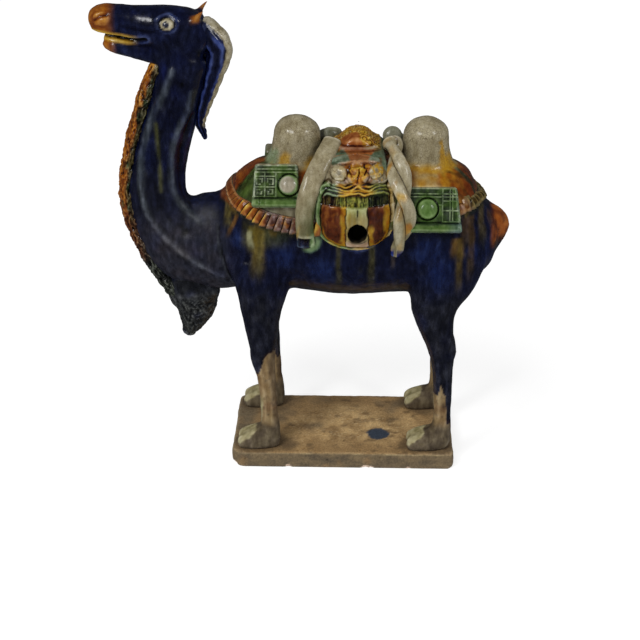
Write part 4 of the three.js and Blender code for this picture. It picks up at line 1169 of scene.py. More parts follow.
    crackle = upper * ramp(np.abs(x - 12), 14, 22)
    # Round the back of the bag the glazes run together
    back = mix(mix(GREEN, DEEP_GREEN, 0.5 + 0.5 * patch), mix(AMBER, COBALT, 0.4), ramp(noise(p, 18, 76), -0.3, 0.6))
    tint = mix(back, tint, face)
    tint = mix(tint, mix(COBALT, INK, 0.5), ramp(true_z + 2 * noise(p, 6, 77), 230, 226))
    return tint, crackle * face


def bag(name, way):
    rows = [(BAG_X, -way * BAG_Y, *rest) for rest in BAG]
    rings, _, _ = loft(rows, *BAG_MESH[way], BAG_POWER, (6, 7), (1, 0, 0), cap=BAG_CAP)
    middle = rings.mean(axis=1, keepdims=True) * (1, 1, 0) + rings * (0, 0, 1)
    out = unit(rings - middle)
    grid = out.shape[:2]
    x, z = rings[..., 0].ravel(), rings[..., 2].ravel()
    face = ramp(way * out[..., 1].ravel(), 0.05, 0.5)
    relief = mask_relief(x, z, way == FAR) * (0.8 if way == FAR else 1.0)
    bulge = 1.4 * (dome(x, z, -12, 257, 14, 24) + dome(x, z, 34, 258, 12, 23))
    lift = face * (relief + bulge) + 0.25 * noise(rings.reshape(-1, 3), 9, 78)
    rings = rings + (out * lift.reshape(*grid, 1)) * (0.35, 1, 0.35)
    rings[..., 2] += 0.35 * face.reshape(grid) * relief.reshape(grid)
    points, faces = outward(*tube(rings))
    if way == NEAR:
        vented(name, points, faces)
        return
    quads = [f for f in faces if len(f) == 4]
    tint, crackle = paint_bag(points, normals(points, quads), way, relief)
    dress(name, points, faces, paint(tint, 0, crackle), GLAZE)


def vented(name, points, faces):
    """The near bag with the round vent cut into it."""
    piece = make("whole_bag", points, faces)
    turn = np.linspace(0, 2 * math.pi, 72, endpoint=False)
    wobble = VENT_RADIUS * (
        1 + 0.025 * np.sin(2 * turn + 0.6) + 0.012 * np.sin(3 * turn + 2) + 0.012 * np.sin(8 * turn)
    )
    face_y = points[:, 1].min()
    depths = (face_y - 8, face_y + 2, face_y + 7, face_y + VENT_DEPTH * 0.5, face_y + VENT_DEPTH)
    x, z = VENT_X + wobble * np.cos(turn), VENT_Z + 1.16 * wobble * np.sin(turn)
    tool = make("vent_tool", *outward(*tube(np.stack([np.stack([x, 0 * turn + depth, z], 1) for depth in depths]))))
    cut = piece.modifiers.new("vent", "BOOLEAN")
    cut.operation = "DIFFERENCE"
    cut.solver = "EXACT"
    cut.object = tool
    shown, mesh, points = shown_mesh(piece)
    faces = [list(f.vertices) for f in mesh.polygons]
    out = np.array([v.normal[:] for v in mesh.vertices])
    shown.to_mesh_clear()
    bpy.data.objects.remove(piece)
    bpy.data.objects.remove(tool)
    x, y, z = points.T
    tint, crackle = paint_bag(points, out, NEAR, mask_relief(x, z, False))
    from_middle = np.hypot(x - VENT_X, z - VENT_Z)
    inside = ramp(from_middle, VENT_RADIUS * 1.3, VENT_RADIUS * 1.26) * ramp(y, face_y + 3, face_y + 6)
    # Inside the vent: raw clay with painted shade deepening into the hole, and painted light on the lower part of its
    # far end.
    raw_clay_shaded_and_lit = mix((92, 80, 58), (30, 26, 16), ramp(y, face_y + 4, face_y + 20))
    raw_clay_shaded_and_lit = mix(raw_clay_shaded_and_lit, (88, 82, 56), 0.8 * ramp(y, face_y + 20, face_y + 30) * ramp(z, VENT_Z + 3, VENT_Z - 4))
    tint = mix(tint, raw_clay_shaded_and_lit, inside)
    rim = ramp(np.abs(from_middle - VENT_RADIUS - 0.6), 1.4, 0.2) * ramp(z, VENT_Z - 4, VENT_Z + 4)
    tint = mix(tint, UMBER, 0.5 * rim)
    dress(name, points, faces, paint(tint, inside, crackle), GLAZE)


def bags():
    bag("saddlebag_near", NEAR)
    bag("saddlebag_far", FAR)


# The pad over the back and the rolled crest on it, with its curls. A row of curls has its y, its reach from the roll's
# middle and its start, in steps from curl to curl; the others have x, y and z
CURL_ROWS = ((-19, 19.5, 0.0), (-8, 22, 0.5), (4, 22, 0.0), (16, 20.5, 0.5))
STRAY_CURLS = ((22, -21.5, 332.5), (29, -21.5, 329.5), (26, -18.5, 336), (-7.5, -20, 329.5))


def crest_curls():
    """The crest's curls and their middles. Their axes lie along loft's side, so most of their rings have no direction
    across and drop out when the crest is remade: the curls stand out unevenly, and the relief draws the rest."""
    parts, middles = [], []
    for row, (y, reach, start) in enumerate(CURL_ROWS):
        for k in range(9):
            turn = math.pi * (k + start) / 8.5 + 0.05
            size = 4.3 + 0.9 * math.sin(3.1 * k + row)
            if row > 0 or not 1.25 < turn < 2.55:
                x, z = ROLL_X + reach * math.cos(turn), ROLL_Z + reach * math.sin(turn)
                middles.append((x, y, z))
                ends = [(x, y - 2.4, z, size, size), (x, y + 2.4, z, size, size)]
                parts.append(rounded(ends, 18, 3, ends=(3.4, 3.4)))
    for x, y, z in STRAY_CURLS:
        middles.append((x, y, z))
        parts.append(rounded([(x, y - 1.8, z, 3.8, 3.8), (x, y + 2, z, 3.8, 3.8)], 18, 3, ends=(3, 3)))
    return parts, middles


def bundle():
    pad = rounded([(BAG_X, *rest) for rest in PAD], 56, 6, side=(1, 0, 0))
    rows = [(ROLL_X, k * ROLL_WIDTH * 0.8, ROLL_Z, ROLL_RADIUS * wide, ROLL_RADIUS * wide)
            for k, wide in ((-1, 0.84), (-0.4, 1), (0.4, 1), (1, 0.84))]
    roll = rounded(rows, 56, 6, ends=(4, 4), side=(1, 0, 0))
    curls, middles = crest_curls()
    points, faces, _ = fused([pad, roll, *curls], PAD_VOXEL, PAD_ROUNDS, 0.5)
    n = normals(points, faces)
    x, y, z = points.T
    around = np.hypot(x - ROLL_X, z - ROLL_Z)
    bare = ramp(np.hypot((x - 6.5) / 11.5, (z - 327.5) / 14) + 0.1 * noise(points, 5, 89), 1.05, 0.92)
    front = ramp(np.abs(y), 8, 12) * bare
    crest = ramp(around, 16.5, 18.5) * ramp(z, 324, 328) * (1 - front)
    # Each curl is a small coil round a hollow
    from_curl = np.min([np.linalg.norm(points - np.array(at), axis=1) for at in middles], axis=0)
    coil = np.cos((from_curl - 4.2) * 2.6)
    rise = crest * (0.45 * coil * ramp(from_curl, 7.5, 5) + 0.5 * rough(points, 3, 2))
    rise += 0.25 * rough(points, 8, 81)
    # The forehead of the mask: a sloping panel with a raised border
    border = [(-6, 327.5), (12, 328), (40, 327.5)]
    from_border = from_line(x, z, border)
    rise += 0.9 * ramp(from_border, 1.4, 0.4) * ramp(np.abs(y), 12, 20)
    # The forehead narrows downwards, and above the border its colour runs up between the curls
    half = 9 + 1.1 * np.clip(z - 321, 0, 6)
    below = ramp(np.abs(x - 14.5 + 1.2 * noise(points, 9, 88)), half + 0.8, half - 0.8) * ramp(z, 328.5, 327.5)
    plate = np.maximum(below * ramp(np.abs(y), 15, 20), front * ramp(z, 327.5, 328.5))
    points = points + n * rise[:, None]
    patch, streak = rough(points, 9, 82), noise(points * (1, 0.3, 1), 4, 83)
    orange = mix(mix(AMBER, (146, 88, 48), 0.7), RUST, 0.3 + 0.5 * patch + 0.2 * streak)
    yellow = mix(YELLOW, AMBER, 0.3 + 0.7 * noise(points, 5, 84))
    tint = mix(mix(GREEN, CREAM_SHADE, 0.35 + 0.4 * patch), DEEP_GREEN, 0.5 + 0.6 * noise(points, 14, 85))
    slope = ramp(np.abs(y), 16, 22)
    grey_green = mix(GREY_GREEN, DARK_GREY_GREEN, 0.5 + 0.7 * patch)
    tint = mix(tint, grey_green, slope * ramp(z, 306, 314))
    tint = mix(tint, yellow, ramp(z, 327, 329) * ramp(around, 26, 20))
    tint = mix(tint, yellow, crest)
    tint = mix(tint, (150, 88, 34), crest * 0.6 * ramp(noise(points, 6, 86), 0, 0.7))
    tint = mix(tint, (124, 112, 82), 0.6 * crest * ramp(noise(points, 7, 87), -0.1, 0.5) * ramp(coil, 0, 0.8))
    tint = mix(tint, (70, 40, 14), 0.75 * crest * ramp(coil, -0.1, -0.8))
    tint = mix(tint, orange, plate * ramp(z, 319, 321.5) * ramp(around, 27, 23))
    pink = mix((124, 84, 62), (144, 132, 104), ramp(x, 16, 26))
    tint = mix(tint, pink, 0.8 * ramp(from_border, 1.5, 0.6) * slope)
    tint = mix(tint, UMBER, 0.6 * ramp(np.abs(from_border - 2.1), 0.9, 0.2) * slope)
    tint = mix(tint, mix(RUST, AMBER, 0.4), slope * ramp(z, 321.5, 319.5) * ramp(np.abs(x - 14), 24, 18))
    dress("pad_and_crest", points, faces.tolist(), paint(tint), GLAZE)


# The mat boards: a lattice in relief, a round boss and a bar along the foot
def lattice_lines(s, t, tall, front):
    """Lines of the lattice, 1 on a line: s from the end away from the boss, t up from the foot, in mm."""
    def stroke(place, at):
        return ramp(np.abs(place - at), FRET_WIDTH * 0.75, FRET_WIDTH * 0.3)

    if front:
        posts, levels, doubles = (2.4, 13, 24), (9.5, 19, 29.5), (33.5, 36.6)
    else:
        posts, levels, doubles = (2.2, 9.6, 12.2, 19.5), (9.5, 20.5, 30), (34, 37)
    lines = np.zeros(s.shape)
    grid = ramp(s, posts[-1] + 0.5, posts[-1] - 0.5)
    for at in levels:
        lines = np.maximum(lines, stroke(t, at) * grid)
    for at in doubles:
        lines = np.maximum(lines, stroke(t, at))
    for at in posts:
        lines = np.maximum(lines, stroke(s, at) * ramp(t, 8, 9.5) * (ramp(t, 33.5, 32.5) if front else 1))
    lines = np.maximum(lines, ramp(np.abs(t - (tall - 1.2)), 1.4, 0.7))
    # A small square within each cell of the lattice, open at one corner
    for row, (low, high) in enumerate(zip(levels, (*levels[1:], doubles[0]))):
        for column, (left, right) in enumerate(zip(posts[:-1], posts[1:])):
            reach = min(right - left, high - low) / 2 - 2.6
            if reach < 1.2:
                continue
            ds, dt = s - (left + right) / 2, t - (low + high) / 2
            ring = ramp(np.abs(np.maximum(np.abs(ds), np.abs(dt)) - reach), 0.95, 0.35)
            gap = ramp(np.hypot(ds - reach * (-1) ** column, dt - reach * (-1) ** row), 1.2, 2.0)
            lines = np.maximum(lines, 0.9 * ring * gap)
    if not front:
        lines = np.maximum(lines, stroke(t, 26) * ramp(s, 20, 22) * ramp(s, 30, 28))
    return lines


def board(name, x0, y0, z0, tall, foot, top, boss):
    way = FAR if y0 > 0 else NEAR
    front = x0 < 0
    columns, rows = round(foot / BOARD_GRID[way]), round((tall + 3) / BOARD_GRID[way])
    u, v = np.meshgrid(np.linspace(-1, 1, columns + 1), np.linspace(0, 1, rows + 1), indexing="ij")
    low, high, corner = -1.6, tall, 3.5
    t = low + (high - low) * v
    inset = np.maximum(corner - np.minimum(t - low, high - t), 0)
    half = board_half(t, tall, foot, top) - (corner - np.sqrt(np.maximum(corner**2 - inset**2, 0)))
    across = u * half
    edge = np.minimum(np.minimum(t - low, high - t), half - np.abs(across))
    s = (across + foot / 2) if front else (foot / 2 - across)
    lines = lattice_lines(s, t, tall, front)
    boss_distance = np.hypot(across - boss, t - tall * 0.5)
    clear = ramp(boss_distance, BOSS_RADIUS + 0.4, BOSS_RADIUS + 1.6)
    bar = np.sqrt(np.clip(1 - ((t - 3.2) / 4.6) ** 2, 0, 1))
    panel = ramp(t, 7.6, 8.2)
    ends = ramp(s, 14, 12) if front else ramp(s, 6, 4)
    thin = (1 - (0.62 if front else 0.4) * np.clip(t / tall, 0, 1))
    rise = BOARD_THICKNESS * thin - 1.6 * ramp(edge, 1.8, 0.0) + panel * clear * (0.8 * lines - 0.5)
    rise += 3.6 * bar * (1 - panel) - 0.7 * (1 - panel) * ends * ramp(np.abs(s % 5.4 - 2.7), 0.9, 0.2)
    rise += BOSS_RISE * np.sqrt(np.clip(1 - (boss_distance / BOSS_RADIUS) ** 2, 0, 1)) ** 0.9
    rise -= 0.9 * ramp(np.abs(boss_distance - BOSS_RADIUS - 1.0), 1.0, 0.2)
    up, out = board_axes(way)
    base = np.array([x0, y0, z0])[None, None] + across[..., None] * (1, 0, 0) + t[..., None] * up
    wobble = 0.3 * noise(base.reshape(-1, 3), 12, 91).reshape(t.shape)
    points, faces = outward(*slab(base + (rise + wobble)[..., None] * out, base - BOARD_BACKING * out))
    on_both = [np.tile(a.ravel(), 2) for a in (lines * panel * clear, t, bar * (1 - panel), across, edge)]
    dress(name, points, faces, paint(board_tint(points, *on_both, z0, tall, boss, front)), GLAZE)


def board_tint(points, raised, t, bar, across, edge, z0, tall, boss, front):
    boss_distance = np.hypot(across - boss, t - tall * 0.5)
    patch = rough(points, 10, 92)
    worn = rough(points * (1, 1, 0.6), 4.5, 94)
    ground = mix((36, 50, 28), (78, 92, 54) if front else (58, 76, 40), 0.5 + 0.8 * patch)
    ground = mix(ground, (70, 78, 66), 0.5 * ramp(patch, 0.2, -0.5))
    line_light = (142, 150, 122) if front else (112, 126, 92)
    tint = mix(ground, mix((84, 104, 62), line_light, 0.4 + 0.7 * worn), raised * (0.5 + 0.8 * worn))
    bright = mix((64, 92, 38), (94, 116, 62), 0.5 + 0.7 * worn)
    tint = mix(tint, bright, 0.5 * ramp(patch, 0.0, 0.7))
    # The bar along the foot: dark green as painted shade, with a painted highlight along its upper part.
    shade = mix((30, 44, 24), (58, 78, 34), 0.5 + 0.8 * noise(points * (0.4, 1, 1), 9, 93))
    bar_shaded_and_lit = mix(shade, bright, 0.7 * ramp(bar, 0.7, 1) * ramp(points[:, 2], z0 + 1, z0 + 6))
    tint = mix(tint, bar_shaded_and_lit, ramp(bar, 0.1, 0.7))
    tint = mix(tint, DEEP_GREEN, 0.7 * ramp(np.abs(t - 7.6), 1.1, 0.2))
    on_boss = ramp(boss_distance, BOSS_RADIUS + 0.6, BOSS_RADIUS - 0.6)
    cap = mix((96, 124, 66), (74, 98, 50), 0.5 + 0.5 * patch)
    if front:
        pale = mix((158, 150, 132), (132, 126, 108), 0.5 + 0.7 * worn)
        off_middle = np.hypot(across - boss + 1.5, t - tall * 0.5 - 0.5)
        cap = mix(cap, pale, ramp(off_middle, BOSS_RADIUS - 0.5, BOSS_RADIUS - 3.5))
    tint = mix(tint, bright, 0.6 * ramp(boss_distance, 16, 12))
    tint = mix(tint, cap, on_boss)
    round_boss = 0.8 * ramp(np.abs(boss_distance - BOSS_RADIUS - 0.8), 1.0, 0.2)
    tint = mix(tint, (30, 40, 22), round_boss * ramp(across - boss, -9, 4))
    tint = mix(tint, mix(RUST, DEEP_GREEN, 0.4), 0.6 * ramp(t, tall - 2.5, tall - 0.5))
    tint = mix(tint, DEEP_GREEN, 0.5 * ramp(edge, 0.8, 0.0))
    if not front:
        tint = mix(tint, (52, 68, 84), 0.45 * ramp(across, 10, 26) * ramp(t, 16, 4))
    return tint


def boards():
    for name, sizes in BOARDS.items():
        board(name, *sizes)


# The skeins of raw silk that tie the load down: one plain, one twisted, on each flank
def skein(name, table, way, twisted):
    ends, power = ((4, 3), 2.0) if twisted else ((4, 4), 3.0)
    rings, t, angle = loft(flank_rows(table, way), *SKEIN_MESH[way], power, ends, (1, 0, 0), cap=8)
    middle = rings.mean(axis=1, keepdims=True)
    spread = rings - middle
    if twisted:
        offset = angle[None] - SKEIN_TURNS * 2 * math.pi * t[:, None] * way
        lobe = 0.44 * np.abs(np.cos(offset)) + np.sqrt(0.60**2 - (0.44 * np.sin(offset)) ** 2)
        groove = ramp(np.abs(np.cos(offset)), 0.16, 0.0).ravel()
        strand = np.where(np.cos(offset) > 0, 1.0, 0.0).ravel()
        knob = ramp(t[:, None], 0.1, 0.02)
        spread = spread * (lobe * (1 - knob) + knob * 1.0)[..., None] * 1.04
    points = (middle + spread).reshape(-1, 3)
    x, y, z = points.T
    out = unit(spread).reshape(-1, 3)
    lift = 0.35 * noise(points, 14, 95) + 0.18 * noise(points * (1, 1, 0.3), 4, 96)
    bottom_x, _, bottom_z = table[-1][:3]
    if not twisted:
        face = ramp(way * out[:, 1], 0.1, 0.5)
        square = np.maximum(np.abs(x - bottom_x + 1) / 7.0, np.abs(z - bottom_z - 2.5) / 6.5)
        square = square + 0.12 * noise(points, 5, 104)
        dish = ramp(square, 1.05, 0.8) * face
        lip = ramp(np.abs(square - 1.2), 0.3, 0.05) * face * ramp(x - bottom_x, -4, 3)
        lift += 0.7 * lip - 1.8 * dish
    points = points + out * lift[:, None]
    points, faces = outward(*tube(points.reshape(rings.shape)))
    patch = rough(points, 10, 97 + twisted)
    tint = mix(CREAM, CREAM_SHADE, 0.5 + 0.6 * patch)
    low = ramp(z + 8 * patch, 300, 250)
    tint = mix(tint, (84, 86, 54), (0.3 if twisted else 0.6 + 0.35 * ramp(x - bottom_x, -6, 5)) * low)
    if twisted:
        stain = ramp(noise(points * (1, 1, 0.5), 10, 99), 0.1, 0.6)
        tint = mix(tint, mix(YELLOW, AMBER, 0.3 + 0.5 * patch), 0.8 * stain * (0.35 + 0.65 * strand))
        tint = mix(tint, (70, 50, 30), 0.8 * groove)
        tip = ramp(z + 2 * noise(points, 4, 100), 236, 230)
        tint = mix(tint, COBALT_LIGHT, tip * ramp(np.abs(x - bottom_x), 0.6, 2.2))
    else:
        tint = mix(tint, (66, 88, 50), 0.7 * ramp(x - bottom_x - 3, 0, 5) * ramp(z, 290, 262))
        tint = mix(tint, YELLOW, 0.45 * ramp(noise(points * (1, 1, 0.4), 8, 101), 0.3, 0.8) * ramp(z, 270, 250))
        # The end is a dark hollow with a blue edge below and a pale green one on the tail's side
        jagged = z + 1.4 * noise(points, 3.4, 102)
        hollow = ramp(jagged, bottom_z + 9.5, bottom_z + 8) * ramp(square, 1.08, 0.98)
        tint = mix(tint, mix(COBALT, INK, 0.4), hollow)
        end = ramp(jagged, bottom_z + 2, bottom_z - 1.5)
        ahead = ramp(x, bottom_x - 6, bottom_x - 8) * ramp(z, bottom_z + 12, bottom_z + 5)
        tint = mix(tint, mix(COBALT, DEEP_GREEN, 0.35), np.maximum(end, ahead))
        behind = ramp(x, bottom_x + 3.5, bottom_x + 6) * ramp(jagged, bottom_z + 16, bottom_z + 6)
        tint = mix(tint, mix((84, 112, 66), (150, 160, 122), 0.4 + 0.8 * patch), behind)
    if way == FAR:
        tint = mix(tint, mix(DEEP_GREEN, (88, 88, 68), 0.4 + 0.5 * patch), 0.85 * ramp(z, 314, 322))
    specks = ramp(noise(points, 1.6, 103), 0.62, 0.8)
    tint = mix(tint, (90, 72, 50), 0.6 * specks)
    dress(name, points, faces, paint(tint, 0, 0.45), GLAZE)


def skeins():
    for way, flank in ((NEAR, "near"), (FAR, "far")):
        skein("skein_plain_" + flank, PLAIN_SKEIN, way, False)
        skein("skein_twisted_" + flank, TWISTED_SKEIN, way, True)


# The long hair: curls down the throat, a lock on the chest and a lock behind the head
def hair_piece(name, table, around, along, relief, colours):
    rings, t, angle = loft(middle_rows(table), round(around * HAIR_SHARE), max(2, round(along * HAIR_SHARE)))
    out = unit(rings - rings.mean(axis=1, keepdims=True)).reshape(-1, 3)
    points = rings.reshape(-1, 3)
    share = np.repeat(t, rings.shape[1])
    turn = np.tile(angle, rings.shape[0])
    rise = relief(points, share, turn)
    points = points + out * rise[:, None]
    points, faces = outward(*tube(points.reshape(rings.shape)))
    tint, crackle = colours(points, share, turn, rise)
    dress(name, points, faces, paint(tint, 0, crackle), GLAZE)


def mane_x(z):
    """The x of the mane's middle at height z."""
    line = curve(MANE, np.linspace(0, 1, 200))
    return np.interp(z, line[::-1, 1], line[::-1, 0])


def strands(p, size, seed):
    """Sharp crests of hair along the hanging locks, about -1 to 1."""
    q = np.column_stack([p[:, 0] - mane_x(p[:, 2]), p[:, 1], 0.4 * p[:, 2]])
    coarse = 1 - 2.4 * np.abs(noise(q, size, seed))
    return 0.7 * coarse + 0.5 * (1 - 2.4 * np.abs(noise(q * (1, 1, 1.3), size * 0.5, seed + 1)))


def mane_relief(p, t, turn):
    tuft = cells(p * (1, 1, 0.55), 7.5, 5)
    return 1.3 * strands(p, 5.5, 111) + 1.3 * ramp(tuft, 0.8, 0.1) - 0.7 + 0.6 * noise(p, 2.6, 112)


def mane_colours(p, t, turn, rise):
    x, y, z = p.T
    inner = x - mane_x(z) + 3 * noise(p * (1, 1, 0.4), 8, 117)
    patch = rough(p * (1, 1, 0.6), 13, 113)
    tint = mix(AMBER, (96, 48, 14), 0.45 + 0.8 * patch)
    tint = mix(tint, (162, 100, 18), 0.6 * ramp(noise(p * (1, 1, 0.5), 9, 114), 0.1, 0.7) * ramp(z, 250, 275))
    green = mix((48, 54, 28), (30, 38, 30), 0.5 + 0.7 * noise(p, 6, 118))
    tint = mix(tint, green, 0.9 * ramp(inner, -3.5, 1) + 0.6 * ramp(noise(p * (1, 1, 0.5), 7, 119), 0.3, 0.7))
    tint = mix(tint, (62, 30, 18), 0.7 * ramp(z + 8 * patch, 262, 235))
    tint = mix(tint, (34, 20, 10), 0.85 * ramp(rise, 0.3, -1.2))
    low = ramp(z + 14 * noise(p, 22, 116), 226, 198)
    dark = mix((40, 44, 38), (26, 27, 26), 0.5 + 0.7 * patch)
    return mix(tint, mix(dark, (56, 60, 50), 0.5 * ramp(rise, 0, 1.5)), low), 0.0


def chest_relief(p, t, turn):
    return 0.9 * strands(p, 5, 121) * ramp(t, 0.1, 0.4) + 0.4 * noise(p, 9, 122) - 6 * ramp(t, 0.22, 0.0)


def chest_colours(p, t, turn, rise):
    patch = rough(p, 12, 123)
    tint = mix((42, 43, 44), (28, 30, 34), 0.5 + 0.6 * patch)
    tint = mix(tint, (52, 54, 48), 0.5 * ramp(rise, 0.2, 1.2))
    tint = mix(tint, mix(COBALT, INK, 0.4), 0.5 * ramp(noise(p, 16, 124), 0.2, 0.7))
    tint = mix(tint, (44, 44, 54), 0.8 * ramp(p[:, 2] + 8 * patch, 176, 196))
    return mix(tint, INK, 0.5 * ramp(rise, -0.1, -1.0)), 0.0


def nape_relief(p, t, turn):
    strand = np.sin(turn * 7 + 5 * t + 0.8 * noise(p, 10, 131))
    back = ramp(np.cos(turn - NAPE_BACK), 0.45, 0.95)
    scallop = 0.9 * np.abs(np.sin(t * 34)) ** 0.6 * back
    return 0.75 * strand * (1 - back) * ramp(t, 0.02, 0.15) + scallop + 0.3 * noise(p, 5, 132)


def nape_colours(p, t, turn, rise):
    tint = mix(cobalt(p, 133), COBALT_LIGHT, 0.35 * ramp(rise, 0.1, 0.7))
    back = ramp(np.cos(turn - NAPE_BACK) + 0.12 * noise(p, 4, 134), 0.55, 0.68) * ramp(p[:, 2], 338, 346)
    cream = mix(CREAM_SHADE, CREAM, 0.5 + 0.5 * rough(p, 9, 135))
    return mix(tint, cream, back), back


def hair():
    hair_piece("mane", MANE, 144, 40, mane_relief, mane_colours)
    hair_piece("chest_lock", CHEST_LOCK, 110, 26, chest_relief, chest_colours)
    hair_piece("nape_lock", NAPE_LOCK, 88, 22, nape_relief, nape_colours)


# The plinth: a slab of rough clay with worn edges and stains
def plinth_outline():
    """The plinth's outline, with each corner rounded by its own radius."""
    l, w = PLINTH_LENGTH / 2, PLINTH_WIDTH / 2
    outline = []
    for (x, y, start), r in zip(((l, -w, -90), (l, w, 0), (-l, w, 90), (-l, -w, 180)), PLINTH_CORNERS):
        cx, cy = x - math.copysign(r, x), y - math.copysign(r, y)
        for k in range(13):
            a = math.radians(start + 90 * k / 12)
            outline.append((cx + r * math.cos(a), cy + r * math.sin(a)))
    return np.array(outline)


def plinth_slab():
    w, h = PLINTH_WIDTH / 2, PLINTH_HEIGHT
    outline = plinth_outline()
    levels = ((-h, 1.2), (-h + 1.2, 0.2), (-h / 2, 0), (-1.4, 0.2), (0, 1.4))
    rings = [np.column_stack([outline * (1 - inset / w), np.full(len(outline), z)]) for z, inset in levels]
    points, faces, _ = fused([tube(np.stack(rings))], PLINTH_VOXEL, 2, 0.5)
    n = normals(points, faces)
    x, y, z = points.T
    top = ramp(n[:, 2], 0.5, 0.9)
    under = ramp(n[:, 2], -0.5, -0.9)
    side = (1 - top) * (1 - under)
    rise = top * (0.45 * rough(points, 26, 141) + 0.22 * noise(points, 5, 142)) - 0.2 * top
    rise += side * (0.5 * rough(points * (1, 1, 1.6), 20, 143) - 0.4)
    pit = cells(points, 7, 8)
    rise -= 0.7 * ramp(pit, 0.16, 0.05) * (1 - under)
    # Chips along the lower edge and at the corners
    chips = np.zeros(len(points))
    for cx, cy, size in PLINTH_CHIPS:
        gap = np.sqrt((x - cx) ** 2 + (y - cy) ** 2 + (z + h) ** 2) + 1.0 * noise(points, 3, 144)
        chips = np.maximum(chips, ramp(gap, size, size * 0.6))
    rise -= 1.3 * chips
    points = points + n * np.clip(rise, -2.5, 0.9)[:, None]
    points[:, 2] = np.clip(points[:, 2], -h, 0)
    patch, broad = rough(points, 20, 145), rough(points, 60, 146)
    speck = ramp(noise(points, 1.9, 147), 0.25, 0.75)
    middle = ramp(np.hypot((x - 8) / 92, (y + 2) / 46) + 0.3 * broad, 1.15, 0.35)
    tint = mix(OCHRE, BUFF, 0.45 + 0.5 * patch)
    tint = mix(tint, (190, 158, 108), 0.8 * middle * (0.55 + 0.7 * patch))
    tint = mix(tint, (204, 180, 136), 0.5 * speck * middle)
    blot = ramp(rough(points * (0.6, 1, 1), 12, 152), 0.15, 0.7)
    tint = mix(tint, (92, 70, 44), 0.75 * top * blot * ramp(x, -30, 60))
    tint = mix(tint, GREY_CLAY, 0.7 * ramp(broad, 0.1, 0.7) + 0.45 * ramp(np.abs(x), 88, 112) * top)
    # Darker round each foot on the plinth's top: painted shadow.
    for fx, fy in [(s, w) for s in (FRONT_HEEL_X - 18, REAR_HEEL_X - 18) for w in (-FOOT_Y, FOOT_Y)]:
        from_foot = np.hypot((x - fx) / 34, (y - fy) / 20) + 0.2 * patch
        tint = mix(tint, (80, 66, 48), 0.6 * top * ramp(from_foot, 1.3, 0.8))
    tint = mix(tint, (88, 70, 48), 0.6 * top * ramp(rough(points, 14, 148), 0.35, 0.9))
    sides = mix((112, 95, 68), (84, 72, 54), 0.5 + 0.8 * rough(points * (1, 1, 2), 20, 149))
    sides = mix(sides, (128, 100, 64), 0.7 * ramp(noise(points, 16, 153), 0.25, 0.7))
    tint = mix(tint, sides, side + under)
    tint = mix(tint, (70, 58, 44), 0.4 * side * ramp(noise(points * (1, 1, 0.3), 10, 150), 0.2, 0.8))
    tint = mix(tint, (214, 190, 170), chips * (1 - top))
    tint = mix(tint, (176, 156, 112), 0.6 * side * ramp(z, -2.4, -0.8) * ramp(noise(points, 14, 154), -0.3, 0.4))
    spot = ramp(np.hypot(x - SPOT[0], y - SPOT[1]) / 12.5 + 0.1 * noise(points, 6, 151), 1.02, 0.92)
    tint = mix(tint, (54, 62, 74), spot * top)
    coat = paint(tint, 1 - 0.75 * spot)
    dress("clay_plinth", points, faces.tolist(), coat, CLAY, "plinth", pooling_and_shade=0.5)


# Materials
class Nodes:
    """The nodes of a material or a world. Their inputs take numbers, sRGB triples or other nodes' outputs."""

    def __init__(self, tree):
        self.tree = tree

    def put(self, target, value):
        if isinstance(value, bpy.types.NodeSocket):
            self.tree.links.new(value, target)
        else:
            target.default_value = (*linear(value), 1) if target.type == "RGBA" else value

    def add(self, kind, inputs=(), **settings):
        made = self.tree.nodes.new("ShaderNode" + kind)
        for key, value in settings.items():
            setattr(made, key, value)
        for key, value in dict(inputs).items():
            self.put(made.inputs[key], value)
        return made

    def read(self, name, kind="Fac"):
        return self.add("Attribute", attribute_name=name).outputs[kind]

    def place(self):
        return self.add("TexCoord").outputs["Object"]

    def math(self, operation, *values, clamp=False):
        return self.add("Math", enumerate(values), operation=operation, use_clamp=clamp).outputs[0]

    def blend(self, kind, factor, a, b):
        made = self.add("Mix", data_type="RGBA", blend_type=kind)
        for key, value in (("Factor", factor), (6, a), (7, b)):
            self.put(made.inputs[key], value)
        return made.outputs[2]

    def noise(self, place, scale, detail=3.0, roughness=0.6):
        inputs = {"Vector": place, "Scale": scale, "Detail": detail, "Roughness": roughness}
        return self.add("TexNoise", inputs).outputs["Fac"]

    def grey(self, value):
        """A noise value as a light to dark grey around white."""
        bright = self.math("MULTIPLY_ADD", value, 1.7, 0.15)
        return self.add("CombineColor", [(k, bright) for k in range(3)]).outputs[0]

    def bump(self, height, strength, distance):
        return self.add("Bump", {"Height": height, "Strength": strength, "Distance": distance})


def blank_material(name):
    """A new material, its nodes and its shader."""
    material = bpy.data.materials.new(name)
    material.use_nodes = True
    material.node_tree.nodes.clear()
    nodes = Nodes(material.node_tree)
    shader = nodes.add("BsdfPrincipled")
    nodes.add("OutputMaterial", {"Surface": shader.outputs[0]})
    return material, nodes, shader


